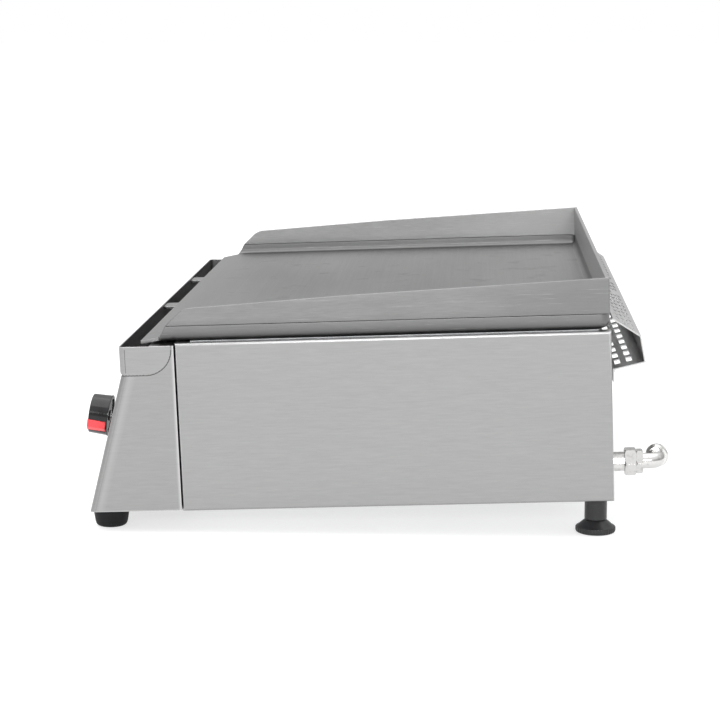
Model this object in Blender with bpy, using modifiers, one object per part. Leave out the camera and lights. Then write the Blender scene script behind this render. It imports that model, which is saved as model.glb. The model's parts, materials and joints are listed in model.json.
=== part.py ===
"""Countertop gas flat top griddle, modelled for Blender 4.5.

Metres, +Z up. The front, with the knobs, faces -Y, and +X is the operator's right.
The housing stands raised at the back, so all of it hangs on one tilted empty whose own axes are
the housing's: x across, y from front to back, z up from the lower edge of the panels.
The feet stand upright on the counter at z = 0.
"""
import math

import bmesh
import bpy
from mathutils import Matrix, Vector

# ---- driving dimensions -------------------------------------------------------------------
HALF_WIDTH = 0.365           # housing, 730 mm overall
SHEET = 0.0015               # stainless sheet of the housing
GAP = 0.0003                 # air left between pieces that touch
TILT = math.radians(2.17)    # the back stands higher than the front
LIFT = 0.0305                # tilted empty above the counter
BODY_Y = -0.0310             # puts the whole object's box on the origin

PANEL_TOP = 0.177            # side panels
SIDE_FRONT = -0.1654
SIDE_BACK = 0.282
FLANGE = 0.015               # folded edge inside each panel
BASE_WIDTH = HALF_WIDTH - FLANGE - 2 * GAP

TOE = (-0.264, 0.001)        # lower front corner of the sloping front panel (y, z)
BROW = (-0.2232, 0.1441)      # its upper corner, under the grease trough
CHEEK_BACK = -0.1672
FRONT_CORNER = 0.006         # bend radius of the upright front corners
TROUGH_FRONT = -0.224
TROUGH_TOP = 0.175
TROUGH_BOTTOM = 0.1445
TROUGH_RADIUS = 0.027
TROUGH_BACK = -0.169
TROUGH_MOUTH = -0.192        # front edge of the ledge folded over the trough
STRAP_X = {"left": -0.175, "right": 0.052}
STRAP_WIDTH = 0.030
DRAIN_Y = -0.2065

PAN_HALF = 0.361
PAN_FRONT = -0.183           # of the plate; the rims start further back
RIM_FRONT = -0.1750
PAN_BACK = 0.281
PLATE_TOP = 0.1825
PLATE = 0.004
PAN_RIM = 0.1945
PAN_RADIUS = 0.010
APRON_TIP = (-0.202, 0.179)
SPLASH = 0.004
SPLASH_FRONT_TOP = (-0.1555, 0.2126)
SPLASH_CREST = 0.2315

BURNER_X = 0.180
BURNER_Z = 0.130
BURNER_RADIUS = 0.022
BURNER_FRONT = -0.110
BURNER_BACK = 0.235

KNOB_X = 0.300
KNOB_Z = 0.0892              # height at which the knob's axis leaves the front panel
TAP_TILT = math.radians(6.0) # the taps lie this much nearer level than square to the panel
KNOB_RADIUS = 0.0221
KNOB_BACK = 0.0090           # clear of the panel, along the axis
KNOB_FACE = 0.0298
KNOB_PUSH = 0.0035
BEZEL_HEIGHT = 0.0030           # lower than the knob's back when the knob is pushed in
POINTER_ANGLE = math.radians(-27)
POINTER_WIDTH = 0.0135
POINTER_PROUD = 0.0010
POINTER_BACK = 0.0108
SPINDLE_RADIUS = 0.0030
SPINDLE_END = 0.0220
VALVE_RADIUS = 0.014
VALVE_LENGTH = 0.036
VALVE_FRONT = 0.0060         # shoulder of the valve, behind the panel
MANIFOLD_RADIUS = 0.009

IGNITER_X = 0.235
IGNITER_Z = 0.110

DRAWER_HALF = 0.098
DRAWER_FLOOR = 0.022
DRAWER_RIM = 0.056
DRAWER_FRONT = -0.244
DRAWER_BACK = -0.020
DRAWER_MIDDLE = 0.040        # height of the middle of its front plate
DRAWER_OPENING = (0.202, 0.040)
DRAWER_PLATE = (0.220, 0.052, 0.002)

PIPE_X = 0.300
PIPE_Z = 0.0273
PIPE_RADIUS = 0.0104
NUT_BACK = (0.2968, 0.3088, 0.3160)
NUT_RADII = (0.0155, 0.0137)
ELBOW_RADIUS = 0.0082
ELBOW_Y = 0.333
ELBOW_END_X = 0.269
COLLAR_LENGTH = 0.012
COLLAR_RADIUS = 0.0118

FLUE_HALF = 0.335
FLUE_PROFILE = (
    (0.2840, 0.1850),
    (0.3124, 0.1660),
    (0.3165, 0.1400),
    (0.2840, 0.1330),
    (0.2840, 0.1195),
)
REAR_TOP = 0.131             # the rear panel stops under the flue opening

FRONT_FOOT = (0.330, -0.247)
FRONT_FOOT_RADII = (0.0196, 0.0158)
REAR_FOOT = (0.330, 0.265)
LEG_RADIUS = 0.01175
LEG_BOTTOM = 0.0138
STUD_RADIUS = 0.0061
FLANGE_RADIUS = 0.021
FLANGE_TOP = 0.0068

FINISHES = {                 # colour, roughness, metallic
    "steel": ((0.52, 0.52, 0.52), 0.34, 1.0),
    "pan": ((0.36, 0.36, 0.36), 0.42, 1.0),
    "galvanised": ((0.42, 0.44, 0.46), 0.50, 1.0),
    "chrome": ((0.62, 0.62, 0.62), 0.16, 1.0),
    "brass": ((0.62, 0.44, 0.18), 0.32, 1.0),
    "copper": ((0.60, 0.32, 0.20), 0.35, 1.0),
    "cast": ((0.10, 0.10, 0.10), 0.70, 0.8),
    "rubber": ((0.02, 0.02, 0.02), 0.75, 0.0),
    "black": ((0.015, 0.015, 0.015), 0.18, 0.0),
    "red": ((0.70, 0.03, 0.03), 0.35, 0.0),
}


# ---- scene and placing --------------------------------------------------------------------
def clear_scene():
    for obj in list(bpy.data.objects):
        bpy.data.objects.remove(obj)


def collection(name):
    made = bpy.data.collections.new(name)
    bpy.context.scene.collection.children.link(made)
    return made


clear_scene()
PARTS = collection("flat_top_griddle")
CUTTERS = collection("cutters")


def frame(name, parent, location, turn_x=0.0):
    """An empty that carries pieces: its own axes are theirs."""
    empty = bpy.data.objects.new(name, None)
    empty.empty_display_size = 0.02
    empty.location = location
    empty.rotation_euler = (turn_x, 0.0, 0.0)
    empty.parent = parent
    PARTS.objects.link(empty)
    return empty


BODY = frame("body_tilt", None, (0.0, BODY_Y, LIFT), TILT)
COUNTER = frame("counter", None, (0.0, BODY_Y, 0.0))
PANEL_LEAN = math.atan2(BROW[0] - TOE[0], BROW[1] - TOE[1])
FACE_TURN = math.radians(90) - PANEL_LEAN


def panel_y(z):
    """Where the outer face of the sloping front panel stands at height z."""
    return BROW[0] + (z - BROW[1]) * math.tan(PANEL_LEAN)


def panel_frame(name, x, z):
    """An empty on the front panel, its z axis straight out of the panel and its y axis up it."""
    return frame(name, BODY, (x, panel_y(z), z), FACE_TURN)


def tap_frame(name, x):
    """An empty on the axis of a tap, where it leaves the panel: z out along the axis."""
    return frame(name, BODY, (x, panel_y(KNOB_Z), KNOB_Z), FACE_TURN + TAP_TILT)


def behind_panel(depth):
    """A point (y, z) on the axis of the taps, this far behind the front panel."""
    fall = PANEL_LEAN - TAP_TILT
    return panel_y(KNOB_Z) + depth * math.cos(fall), KNOB_Z - depth * math.sin(fall)


def finish_object(obj, finish, parent, smooth=False):
    colour, roughness, metallic = FINISHES[finish]
    material = bpy.data.materials.new(obj.name)
    material.use_nodes = True
    shader = material.node_tree.nodes["Principled BSDF"]
    shader.inputs["Base Color"].default_value = (*colour, 1.0)
    shader.inputs["Roughness"].default_value = roughness
    shader.inputs["Metallic"].default_value = metallic
    obj.data.materials.append(material)
    obj.parent = parent
    PARTS.objects.link(obj)
    if smooth:
        obj.data.shade_smooth()
        obj.data.set_sharp_from_angle(angle=math.radians(35))
    return obj


# ---- shapes -------------------------------------------------------------------------------
def mesh_object(name, bm, finish, parent, smooth=False):
    mesh = bpy.data.meshes.new(name)
    bm.to_mesh(mesh)
    bm.free()
    return finish_object(bpy.data.objects.new(name, mesh), finish, parent, smooth)


def cube_mesh(low, high):
    bm = bmesh.new()
    bmesh.ops.create_cube(bm, size=1.0)
    size = Vector(high) - Vector(low)
    middle = (Vector(high) + Vector(low)) / 2
    place = Matrix.Translation(middle) @ Matrix.Diagonal((*size, 1.0))
    bmesh.ops.transform(bm, matrix=place, verts=bm.verts)
    return bm


def block(name, low, high, finish, parent=BODY):
    return mesh_object(name, cube_mesh(low, high), finish, parent)


def faces_towards(bm, direction):
    return [face for face in bm.faces if face.normal.dot(Vector(direction)) > 0.99]


def remove_faces(bm, faces):
    bmesh.ops.delete(bm, geom=faces, context="FACES")


def thicken(obj, thickness):
    """Give an open surface its sheet thickness, on the inner side."""
    solid = obj.modifiers.new("sheet", "SOLIDIFY")
    solid.thickness = thickness
    solid.offset = -1.0
    solid.use_even_offset = True
    return obj


def open_back(bm, direction, flange):
    """Leave only a folded flange of the face that looks along a direction."""
    face = faces_towards(bm, direction)
    bmesh.ops.inset_region(bm, faces=face, thickness=flange)
    remove_faces(bm, face)


def prism(outline, low_x, high_x):
    """A closed solid of a (y, z) outline, drawn out along x."""
    bm = bmesh.new()
    ring = [bm.verts.new((low_x, y, z)) for y, z in outline]
    side = bm.faces.new(ring)
    drawn = bmesh.ops.extrude_face_region(bm, geom=[side])
    moved = [item for item in drawn["geom"] if isinstance(item, bmesh.types.BMVert)]
    bmesh.ops.translate(bm, vec=(high_x - low_x, 0.0, 0.0), verts=moved)
    bmesh.ops.recalc_face_normals(bm, faces=bm.faces)
    return bm


def bevel_edges(bm, edges, width, segments):
    bmesh.ops.bevel(bm, geom=edges, offset=width, segments=segments, profile=0.5, affect="EDGES")


def outline_plate(name, outline, axis, low, high, finish, parent=BODY):
    """A flat outline given a thickness along one axis: x (outline y, z), y (x, z) or z (x, y)."""
    turns = {"x": (90, 0, 90), "y": (90, 0, 0), "z": (0, 0, 0)}
    middle = (low + high) / 2
    place = {"x": (middle, 0, 0), "y": (0, middle, 0), "z": (0, 0, middle)}
    curve = bpy.data.curves.new(name, "CURVE")
    curve.dimensions = "2D"
    curve.fill_mode = "BOTH"
    curve.extrude = (high - low) / 2
    spline = curve.splines.new("POLY")
    spline.points.add(len(outline) - 1)
    for point, (u, v) in zip(spline.points, outline):
        point.co = (u, v, 0.0, 1.0)
    spline.use_cyclic_u = True
    obj = bpy.data.objects.new(name, curve)
    obj.location = place[axis]
    obj.rotation_euler = [math.radians(angle) for angle in turns[axis]]
    return finish_object(obj, finish, parent)


def turned(name, profile, finish, parent, location=(0, 0, 0), turn=(0, 0, 0), steps=24):
    """A profile of (radius, height) points, listed from top to bottom, spun about its own z."""
    bm = bmesh.new()
    points = [bm.verts.new((radius, 0.0, height)) for radius, height in profile]
    for upper, lower in zip(points, points[1:]):
        bm.edges.new((upper, lower))
    obj = mesh_object(name, bm, finish, parent)
    obj.location = location
    obj.rotation_euler = [math.radians(angle) for angle in turn]
    screw = obj.modifiers.new("turned", "SCREW")
    screw.steps = steps
    screw.render_steps = steps
    screw.use_merge_vertices = True
    screw.merge_threshold = 0.00002
    screw.use_smooth_shade = False
    return obj


def tube(name, points, radius, finish, parent=BODY, sides=2):
    curve = bpy.data.curves.new(name, "CURVE")
    curve.dimensions = "3D"
    curve.bevel_depth = radius
    curve.bevel_resolution = sides
    curve.use_fill_caps = True
    spline = curve.splines.new("POLY")
    spline.points.add(len(points) - 1)
    for point, place in zip(spline.points, points):
        point.co = (*place, 1.0)
    return finish_object(bpy.data.objects.new(name, curve), finish, parent)


def bent(corners, radius, steps=4):
    """A path through corners, each turned into an arc."""
    path = [Vector(corners[0])]
    for before, corner, after in zip(corners, corners[1:], corners[2:]):
        corner = Vector(corner)
        inward = (Vector(before) - corner).normalized()
        onward = (Vector(after) - corner).normalized()
        reach = radius / math.tan(inward.angle(onward) / 2)
        start = corner + inward * reach
        finish = corner + onward * reach
        for step in range(steps + 1):
            t = step / steps
            path.append(start * (1 - t) ** 2 + corner * 2 * t * (1 - t) + finish * t ** 2)
    path.append(Vector(corners[-1]))
    return path


def cutter(name, bm, parent, location=(0, 0, 0), turn=(0, 0, 0)):
    mesh = bpy.data.meshes.new(name)
    bmesh.ops.recalc_face_normals(bm, faces=bm.faces)
    bm.to_mesh(mesh)
    bm.free()
    obj = bpy.data.objects.new(name, mesh)
    obj.location = location
    obj.rotation_euler = [math.radians(angle) for angle in turn]
    obj.parent = parent
    obj.hide_render = True
    obj.display_type = "WIRE"
    CUTTERS.objects.link(obj)
    return obj


def round_cutter(name, radius, length, parent, location=(0, 0, 0), turn=(0, 0, 0)):
    bm = bmesh.new()
    bmesh.ops.create_cone(bm, cap_ends=True, segments=24, radius1=radius, radius2=radius, depth=length)
    return cutter(name, bm, parent, location, turn)


def cut(obj, tool):
    boolean = obj.modifiers.new(tool.name, "BOOLEAN")
    boolean.operation = "DIFFERENCE"
    boolean.solver = "EXACT"
    boolean.object = tool
    return obj


SIDES = (("left", -1), ("right", 1))


# ---- cooking surface ----------------------------------------------------------------------
def griddle_pan():
    """The plate, its upturned rims and the apron that falls into the trough: one folded sheet."""
    bm = cube_mesh((-PAN_HALF, PAN_FRONT, PLATE_TOP - PLATE), (PAN_HALF, PAN_BACK, PAN_RIM))
    remove_faces(bm, faces_towards(bm, (0, 0, 1)) + faces_towards(bm, (0, -1, 0)))
    floor = PLATE_TOP - PLATE
    for vert in bm.verts:
        if vert.co.y < 0 and vert.co.z > floor:
            vert.co.y = RIM_FRONT
    folds = [edge for edge in bm.edges if len(edge.link_faces) == 2]
    bevel_edges(bm, folds, PAN_RADIUS, 3)
    front = [
        edge for edge in bm.edges
        if all(abs(v.co.y - PAN_FRONT) < 1e-6 and abs(v.co.z - floor) < 1e-6 for v in edge.verts)
    ]
    drawn = bmesh.ops.extrude_edge_only(bm, edges=front)
    lip = [item for item in drawn["geom"] if isinstance(item, bmesh.types.BMVert)]
    drop = APRON_TIP[1] - PLATE - floor
    bmesh.ops.translate(bm, vec=(0.0, APRON_TIP[0] - PAN_FRONT, drop), verts=lip)
    bmesh.ops.recalc_face_normals(bm, faces=bm.faces)
    return thicken(mesh_object("griddle_pan", bm, "pan", BODY), PLATE)


def splashes():
    """The upright sheets welded on the rims of the pan."""
    bottom = PAN_RIM + GAP
    outline = [
        (RIM_FRONT, bottom),
        SPLASH_FRONT_TOP,
        (0.0178, 0.2217),
        (PAN_BACK, SPLASH_CREST),
        (PAN_BACK, bottom),
    ]
    for side, sign in SIDES:
        low, high = sorted((sign * (PAN_HALF - SPLASH), sign * PAN_HALF))
        outline_plate("side_splash_" + side, outline, "x", low, high, "pan")
    inner = PAN_HALF - SPLASH - GAP
    block("rear_splash", (-inner, PAN_BACK - SPLASH, bottom), (inner, PAN_BACK, SPLASH_CREST), "pan")


def pan_supports():
    for side, sign in SIDES:
        low, high = sorted((sign * 0.338, sign * 0.356))
        block("pan_support_" + side, (low, -0.150, PANEL_TOP + GAP),
              (high, 0.270, PLATE_TOP - PLATE - GAP), "galvanised")


# ---- housing ------------------------------------------------------------------------------
def side_panels():
    """Shallow trays: an outer face and a flange folded in along all four edges."""
    for side, sign in SIDES:
        low, high = sorted((sign * HALF_WIDTH, sign * (HALF_WIDTH - FLANGE)))
        bm = cube_mesh((low, SIDE_FRONT, 0.0), (high, SIDE_BACK, PANEL_TOP))
        remove_faces(bm, faces_towards(bm, (-sign, 0, 0)))
        outer = [
            edge for edge in bm.edges
            if all(abs(abs(v.co.x) - HALF_WIDTH) < 1e-6 for v in edge.verts)
        ]
        bevel_edges(bm, outer, 0.002, 2)
        thicken(mesh_object("side_panel_" + side, bm, "steel", BODY), SHEET)


def front_housing():
    """The sloping front panel with its two cheeks, floor and back flange, folded from one sheet."""
    rim = TROUGH_RADIUS + 0.0004
    middle = (TROUGH_BACK - TROUGH_RADIUS, TROUGH_BOTTOM + TROUGH_RADIUS)
    outline = [TOE, (CHEEK_BACK, TOE[1]), (CHEEK_BACK, TROUGH_TOP), (middle[0] + rim, TROUGH_TOP)]
    for step in range(7):
        angle = math.radians(-90 * step / 6)
        outline.append((middle[0] + rim * math.cos(angle), middle[1] + rim * math.sin(angle)))
    outline.append(BROW)
    bm = prism(outline, -HALF_WIDTH, HALF_WIDTH)
    out_of_panel = (0.0, -math.cos(PANEL_LEAN), math.sin(PANEL_LEAN))
    kept = faces_towards(bm, out_of_panel) + faces_towards(bm, (0, 0, -1))
    kept += faces_towards(bm, (1, 0, 0)) + faces_towards(bm, (-1, 0, 0)) + faces_towards(bm, (0, 1, 0))
    remove_faces(bm, [face for face in bm.faces if face not in kept])
    open_back(bm, (0, 1, 0), FLANGE)
    corners = [
        edge for edge in bm.edges
        if all(abs(abs(v.co.x) - HALF_WIDTH) < 1e-6 for v in edge.verts)
        and sorted(round(v.co.z, 5) for v in edge.verts) == sorted((TOE[1], BROW[1]))
    ]
    bevel_edges(bm, corners, FRONT_CORNER, 3)
    housing = thicken(mesh_object("front_panel", bm, "steel", BODY), SHEET)
    wide, high = DRAWER_OPENING
    mouth = panel_frame("drawer_mouth", 0.0, DRAWER_MIDDLE)
    opening = cube_mesh((-wide / 2, -high / 2, -0.008), (wide / 2, high / 2, 0.008))
    cut(housing, cutter("drawer_cut", opening, mouth))
    for side, sign in SIDES:
        seat = panel_frame("valve_seat_" + side, sign * KNOB_X, KNOB_Z)
        cut(housing, round_cutter("valve_cut_" + side, 0.0065, 0.02, seat))
    seat = panel_frame("igniter_seat", IGNITER_X, IGNITER_Z)
    cut(housing, round_cutter("igniter_cut", 0.0088, 0.02, seat))


def grease_trough():
    """The gutter along the front: closed ends, a round back and a ledge folded over it."""
    middle = (TROUGH_BACK - TROUGH_RADIUS, TROUGH_BOTTOM + TROUGH_RADIUS)
    outline = [(TROUGH_MOUTH, TROUGH_TOP), (TROUGH_FRONT, TROUGH_TOP), (TROUGH_FRONT, TROUGH_BOTTOM)]
    for step in range(7):
        angle = math.radians(-90 + 90 * step / 6)
        outline.append((
            middle[0] + TROUGH_RADIUS * math.cos(angle),
            middle[1] + TROUGH_RADIUS * math.sin(angle),
        ))
    outline.append((TROUGH_BACK, TROUGH_TOP))
    bm = prism(outline, -HALF_WIDTH, HALF_WIDTH)
    mouth = [face for face in faces_towards(bm, (0, 0, 1)) if face.calc_center_median().y < TROUGH_MOUTH]
    remove_faces(bm, mouth)
    ends = [edge for edge in bm.edges if all(abs(abs(v.co.x) - HALF_WIDTH) < 1e-6 for v in edge.verts)]
    corners = [edge for edge in ends if all(abs(v.co.y - TROUGH_FRONT) < 1e-6 for v in edge.verts)]
    bevel_edges(bm, corners, FRONT_CORNER, 3)
    trough = thicken(mesh_object("grease_trough", bm, "steel", BODY), SHEET)
    cut(trough, round_cutter("drain_cut", 0.0068, 0.02, BODY, (0.0, DRAIN_Y, TROUGH_BOTTOM)))


def trough_fittings():
    for side, sign in SIDES:
        low = STRAP_X[side] - STRAP_WIDTH / 2
        block("trough_strap_" + side, (low, TROUGH_FRONT + SHEET + GAP, 0.1705),
              (low + STRAP_WIDTH, TROUGH_MOUTH + 0.018, TROUGH_TOP - SHEET - GAP), "steel")
    top = TROUGH_BOTTOM - GAP
    profile = [(0.0068, top), (0.0100, top), (0.0100, top - 0.003), (0.0080, top - 0.003),
               (0.0080, 0.086), (0.0068, 0.086), (0.0068, top)]
    turned("trough_spout", profile, "steel", BODY, (0.0, DRAIN_Y, 0.0), steps=20)


def rear_and_base():
    rear = block("rear_panel", (-BASE_WIDTH, SIDE_BACK - SHEET, SHEET + GAP),
                 (BASE_WIDTH, SIDE_BACK, REAR_TOP), "steel")
    cut(rear, round_cutter("pipe_cut", PIPE_RADIUS + 0.0008, 0.02, BODY,
                           (PIPE_X, SIDE_BACK, PIPE_Z), (90, 0, 0)))
    back = SIDE_BACK - SHEET - GAP
    block("base_plate", (-BASE_WIDTH, SIDE_FRONT, 0.0), (BASE_WIDTH, back, SHEET), "galvanised")


def flue():
    """The bent cover over the exhaust, open at both ends, and its three screws."""
    bm = bmesh.new()
    line = [bm.verts.new((-FLUE_HALF, y + GAP, z)) for y, z in FLUE_PROFILE]
    edges = [bm.edges.new(pair) for pair in zip(line, line[1:])]
    drawn = bmesh.ops.extrude_edge_only(bm, edges=edges)
    moved = [item for item in drawn["geom"] if isinstance(item, bmesh.types.BMVert)]
    bmesh.ops.translate(bm, vec=(2 * FLUE_HALF, 0.0, 0.0), verts=moved)
    bmesh.ops.recalc_face_normals(bm, faces=bm.faces)
    cover = mesh_object("flue_cover", bm, "steel", BODY)
    thicken(cover, SHEET)
    holes = bmesh.new()
    for row in range(2):
        for column in range(-9, 10):
            y = 0.2868 + 0.0110 * row
            low = Vector((column * 0.034 - 0.012, y, 0.125))
            box = cube_mesh(low, low + Vector((0.024, 0.0054, 0.020)))
            spare = bpy.data.meshes.new("hole")
            box.to_mesh(spare)
            box.free()
            holes.from_mesh(spare)
            bpy.data.meshes.remove(spare)
    cut(cover, cutter("flue_holes", holes, BODY))
    for number, x in enumerate((-0.300, 0.0, 0.300), start=1):
        head = [(0.0, 0.0028), (0.0024, 0.0024), (0.0040, 0.0010), (0.0040, 0.0), (0.0, 0.0)]
        turned(f"flue_screw_{number}", head, "chrome", BODY,
               (x, FLUE_PROFILE[-1][0] + 2 * GAP + SHEET, 0.1262), (-90, 0, 0), steps=12)


# ---- gas train ----------------------------------------------------------------------------
def burners():
    for side, sign in SIDES:
        x = sign * BURNER_X
        length = BURNER_BACK - BURNER_FRONT
        profile = [(0.0, length), (BURNER_RADIUS * 0.7, length), (BURNER_RADIUS, length - 0.008),
                   (BURNER_RADIUS, 0.0), (0.0, 0.0)]
        turned("burner_" + side, profile, "cast", BODY, (x, BURNER_FRONT, BURNER_Z), (-90, 0, 0))
        horn = [(0.0215, 0.048), (0.0140, 0.034), (0.0140, 0.014), (0.0220, 0.0), (0.0, 0.0),
                (0.0, 0.006), (0.0120, 0.006), (0.0120, 0.034), (0.0195, 0.048), (0.0215, 0.048)]
        turned("venturi_" + side, horn, "cast", BODY, (x, BURNER_FRONT - GAP, BURNER_Z), (90, 0, 0))
        jet = [(0.0, 0.010), (0.0016, 0.010), (0.0045, 0.006), (0.0045, 0.0), (0.0, 0.0)]
        turned("jet_" + side, jet, "brass", BODY, (x, -0.1762, BURNER_Z), (-90, 0, 0), steps=16)
        probe = [(x + sign * 0.029, -0.060, BURNER_Z + 0.012), (x + sign * 0.029, -0.140, BURNER_Z + 0.012),
                 (x + sign * 0.060, -0.175, BURNER_Z - 0.005), (x + sign * 0.080, -0.186, BURNER_Z - 0.030)]
        tube("thermocouple_" + side, bent(probe, 0.02), 0.0016, "copper")
    for name, y in (("front", -0.085), ("back", 0.205)):
        block("burner_rest_" + name, (-BASE_WIDTH, y - 0.010, BURNER_Z - BURNER_RADIUS - GAP - SHEET),
              (BASE_WIDTH, y + 0.010, BURNER_Z - BURNER_RADIUS - GAP), "galvanised")


def gas_taps():
    for side, sign in SIDES:
        seat = tap_frame("tap_axis_" + side, sign * KNOB_X)
        bore = SPINDLE_RADIUS + 0.0002
        shoulder, end = -VALVE_FRONT, -VALVE_FRONT - VALVE_LENGTH
        neck = [(bore, -0.0030), (0.0055, -0.0030), (0.0055, shoulder), (VALVE_RADIUS, shoulder),
                (VALVE_RADIUS, end), (0.0, end), (0.0, -0.0300), (bore, -0.0300), (bore, -0.0030)]
        turned("valve_" + side, neck, "brass", seat)
        rod = [(0.0, SPINDLE_END), (SPINDLE_RADIUS, SPINDLE_END), (SPINDLE_RADIUS, -0.0290), (0.0, -0.0290)]
        turned("spindle_" + side, rod, "chrome", seat, steps=16)
        plinth = panel_frame("bezel_seat_" + side, sign * KNOB_X, KNOB_Z)
        ring = [(0.0048, BEZEL_HEIGHT), (0.0180, BEZEL_HEIGHT), (0.0195, GAP), (0.0048, GAP),
                (0.0048, BEZEL_HEIGHT)]
        turned("knob_bezel_" + side, ring, "black", plinth, steps=28)
        knob(side, seat)
        y, z = behind_panel(VALVE_FRONT + 0.0196)
        side_port = sign * (KNOB_X - VALVE_RADIUS - 0.0008)
        route = [(side_port, y, z), (sign * BURNER_X, y, z),
                 (sign * BURNER_X, -0.2000, BURNER_Z), (sign * BURNER_X, -0.1766, BURNER_Z)]
        tube("gas_tube_" + side, bent(route, 0.010), 0.004, "copper")


def knob(side, seat):
    """A plain round knob with a skirt, a blind bore for the spindle and a slot for its pointer."""
    bore = SPINDLE_RADIUS + 0.0002
    depth = SPINDLE_END + KNOB_PUSH + 0.0005
    profile = [
        (0.0, KNOB_FACE), (KNOB_RADIUS - 0.0030, KNOB_FACE), (KNOB_RADIUS - 0.0016, KNOB_FACE - 0.0010),
        (KNOB_RADIUS - 0.0011, KNOB_FACE - 0.0030), (KNOB_RADIUS - 0.0005, KNOB_BACK + 0.0016),
        (KNOB_RADIUS + 0.0004, KNOB_BACK + 0.0012), (KNOB_RADIUS + 0.0004, KNOB_BACK),
        (bore, KNOB_BACK), (bore, depth), (0.0, depth),
    ]
    turner = frame("knob_turn_" + side, seat, (0.0, 0.0, 0.0))
    turner.rotation_euler.z = POINTER_ANGLE
    body = turned("knob_" + side, profile, "black", turner, steps=32)
    half = POINTER_WIDTH / 2
    inner = KNOB_RADIUS - 0.0045
    slot = cube_mesh((inner - GAP, -half - GAP, POINTER_BACK - GAP), (0.04, half + GAP, KNOB_FACE + 0.01))
    cut(body, cutter("pointer_cut_" + side, slot, turner))
    block("knob_pointer_" + side, (inner, -half, POINTER_BACK),
          (KNOB_RADIUS + POINTER_PROUD, half, KNOB_FACE + 0.0004), "red", turner)


def igniter():
    seat = panel_frame("igniter_axis", IGNITER_X, IGNITER_Z)
    bore = 0.0053
    barrel = [(bore, 0.003), (0.0100, 0.003), (0.0110, 0.002), (0.0110, GAP), (0.0085, GAP),
              (0.0085, -0.028), (0.0, -0.028), (0.0, -0.0065), (bore, -0.0065), (bore, 0.003)]
    turned("igniter_barrel", barrel, "chrome", seat, steps=20)
    button = [(0.0, 0.0075), (0.0040, 0.0075), (0.0050, 0.0065), (0.0050, -0.002), (0.0, -0.002)]
    turned("igniter_button", button, "black", seat, steps=20)


def gas_supply():
    """From the elbow behind the housing, forward under the burners and up to the manifold."""
    y, z = behind_panel(VALVE_FRONT + VALVE_LENGTH + GAP + MANIFOLD_RADIUS)
    reach = KNOB_X + 0.012
    tube("gas_manifold", [(-reach, y, z), (reach, y, z)], MANIFOLD_RADIUS, "galvanised", sides=4)
    top = z - MANIFOLD_RADIUS - GAP
    route = [(PIPE_X, NUT_BACK[0] - GAP, PIPE_Z), (PIPE_X, y, PIPE_Z), (PIPE_X, y, top)]
    tube("inlet_pipe", bent(route, 0.012), PIPE_RADIUS, "chrome", sides=4)
    first, second, third = NUT_BACK
    wide, narrow = NUT_RADII
    flats = [(0.0, third - first), (narrow * 0.93, third - first), (narrow, third - first - 0.0008),
             (narrow, second - first), (wide * 0.93, second - first), (wide, second - first - 0.0012),
             (wide, 0.0012), (wide * 0.93, 0.0), (0.0, 0.0)]
    turned("union_nut", flats, "chrome", BODY, (PIPE_X, first, PIPE_Z), (-90, 0, 0), steps=6)
    elbow_end = ELBOW_END_X + COLLAR_LENGTH
    corner = [(PIPE_X, third + GAP, PIPE_Z), (PIPE_X, ELBOW_Y, PIPE_Z), (elbow_end, ELBOW_Y, PIPE_Z)]
    tube("inlet_elbow", bent(corner, 0.010), ELBOW_RADIUS, "chrome", sides=4)
    chamfer = 0.001
    collar = [(0.0, COLLAR_LENGTH), (COLLAR_RADIUS - chamfer, COLLAR_LENGTH),
              (COLLAR_RADIUS, COLLAR_LENGTH - chamfer), (COLLAR_RADIUS, chamfer),
              (COLLAR_RADIUS - chamfer, 0.0), (0.0, 0.0)]
    turned("inlet_collar", collar, "chrome", BODY,
           (elbow_end - GAP, ELBOW_Y, PIPE_Z), (0, -90, 0), steps=20)


# ---- grease drawer ------------------------------------------------------------------------
def grease_drawer():
    bm = cube_mesh((-DRAWER_HALF, DRAWER_FRONT, DRAWER_FLOOR), (DRAWER_HALF, DRAWER_BACK, DRAWER_RIM))
    remove_faces(bm, faces_towards(bm, (0, 0, 1)))
    thicken(mesh_object("drawer_tray", bm, "steel", BODY), 0.0012)
    mouth = panel_frame("drawer_plate_frame", 0.0, DRAWER_MIDDLE)
    wide, high, thick = DRAWER_PLATE
    block("drawer_front", (-wide / 2, -high / 2, GAP), (wide / 2, high / 2, GAP + thick), "steel", mouth)
    low, top = DRAWER_FLOOR + 0.002, DRAWER_RIM - 0.002
    wedge = [(DRAWER_FRONT - GAP, low), (DRAWER_FRONT - GAP, top), (panel_y(top), top), (panel_y(low), low)]
    outline_plate("drawer_bracket", wedge, "x", -0.060, 0.060, "galvanised")
    foot = GAP + thick + GAP
    grip = [(-0.045, 0.0, foot), (-0.045, 0.0, 0.024), (0.045, 0.0, 0.024), (0.045, 0.0, foot)]
    tube("drawer_handle", bent(grip, 0.008), 0.004, "chrome", mouth)
    for side, sign in SIDES:
        outer, web = sign * (DRAWER_HALF + 0.006), sign * (DRAWER_HALF + 0.0045)
        shelf = DRAWER_FLOOR - GAP
        outline = [(outer, SHEET + GAP), (outer, shelf + 0.010), (web, shelf + 0.010), (web, shelf),
                   (sign * (DRAWER_HALF - 0.014), shelf), (sign * (DRAWER_HALF - 0.014), shelf - SHEET),
                   (web, shelf - SHEET), (web, SHEET + GAP)]
        outline_plate("drawer_runner_" + side, outline, "y", -0.163, DRAWER_BACK, "galvanised")


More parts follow.
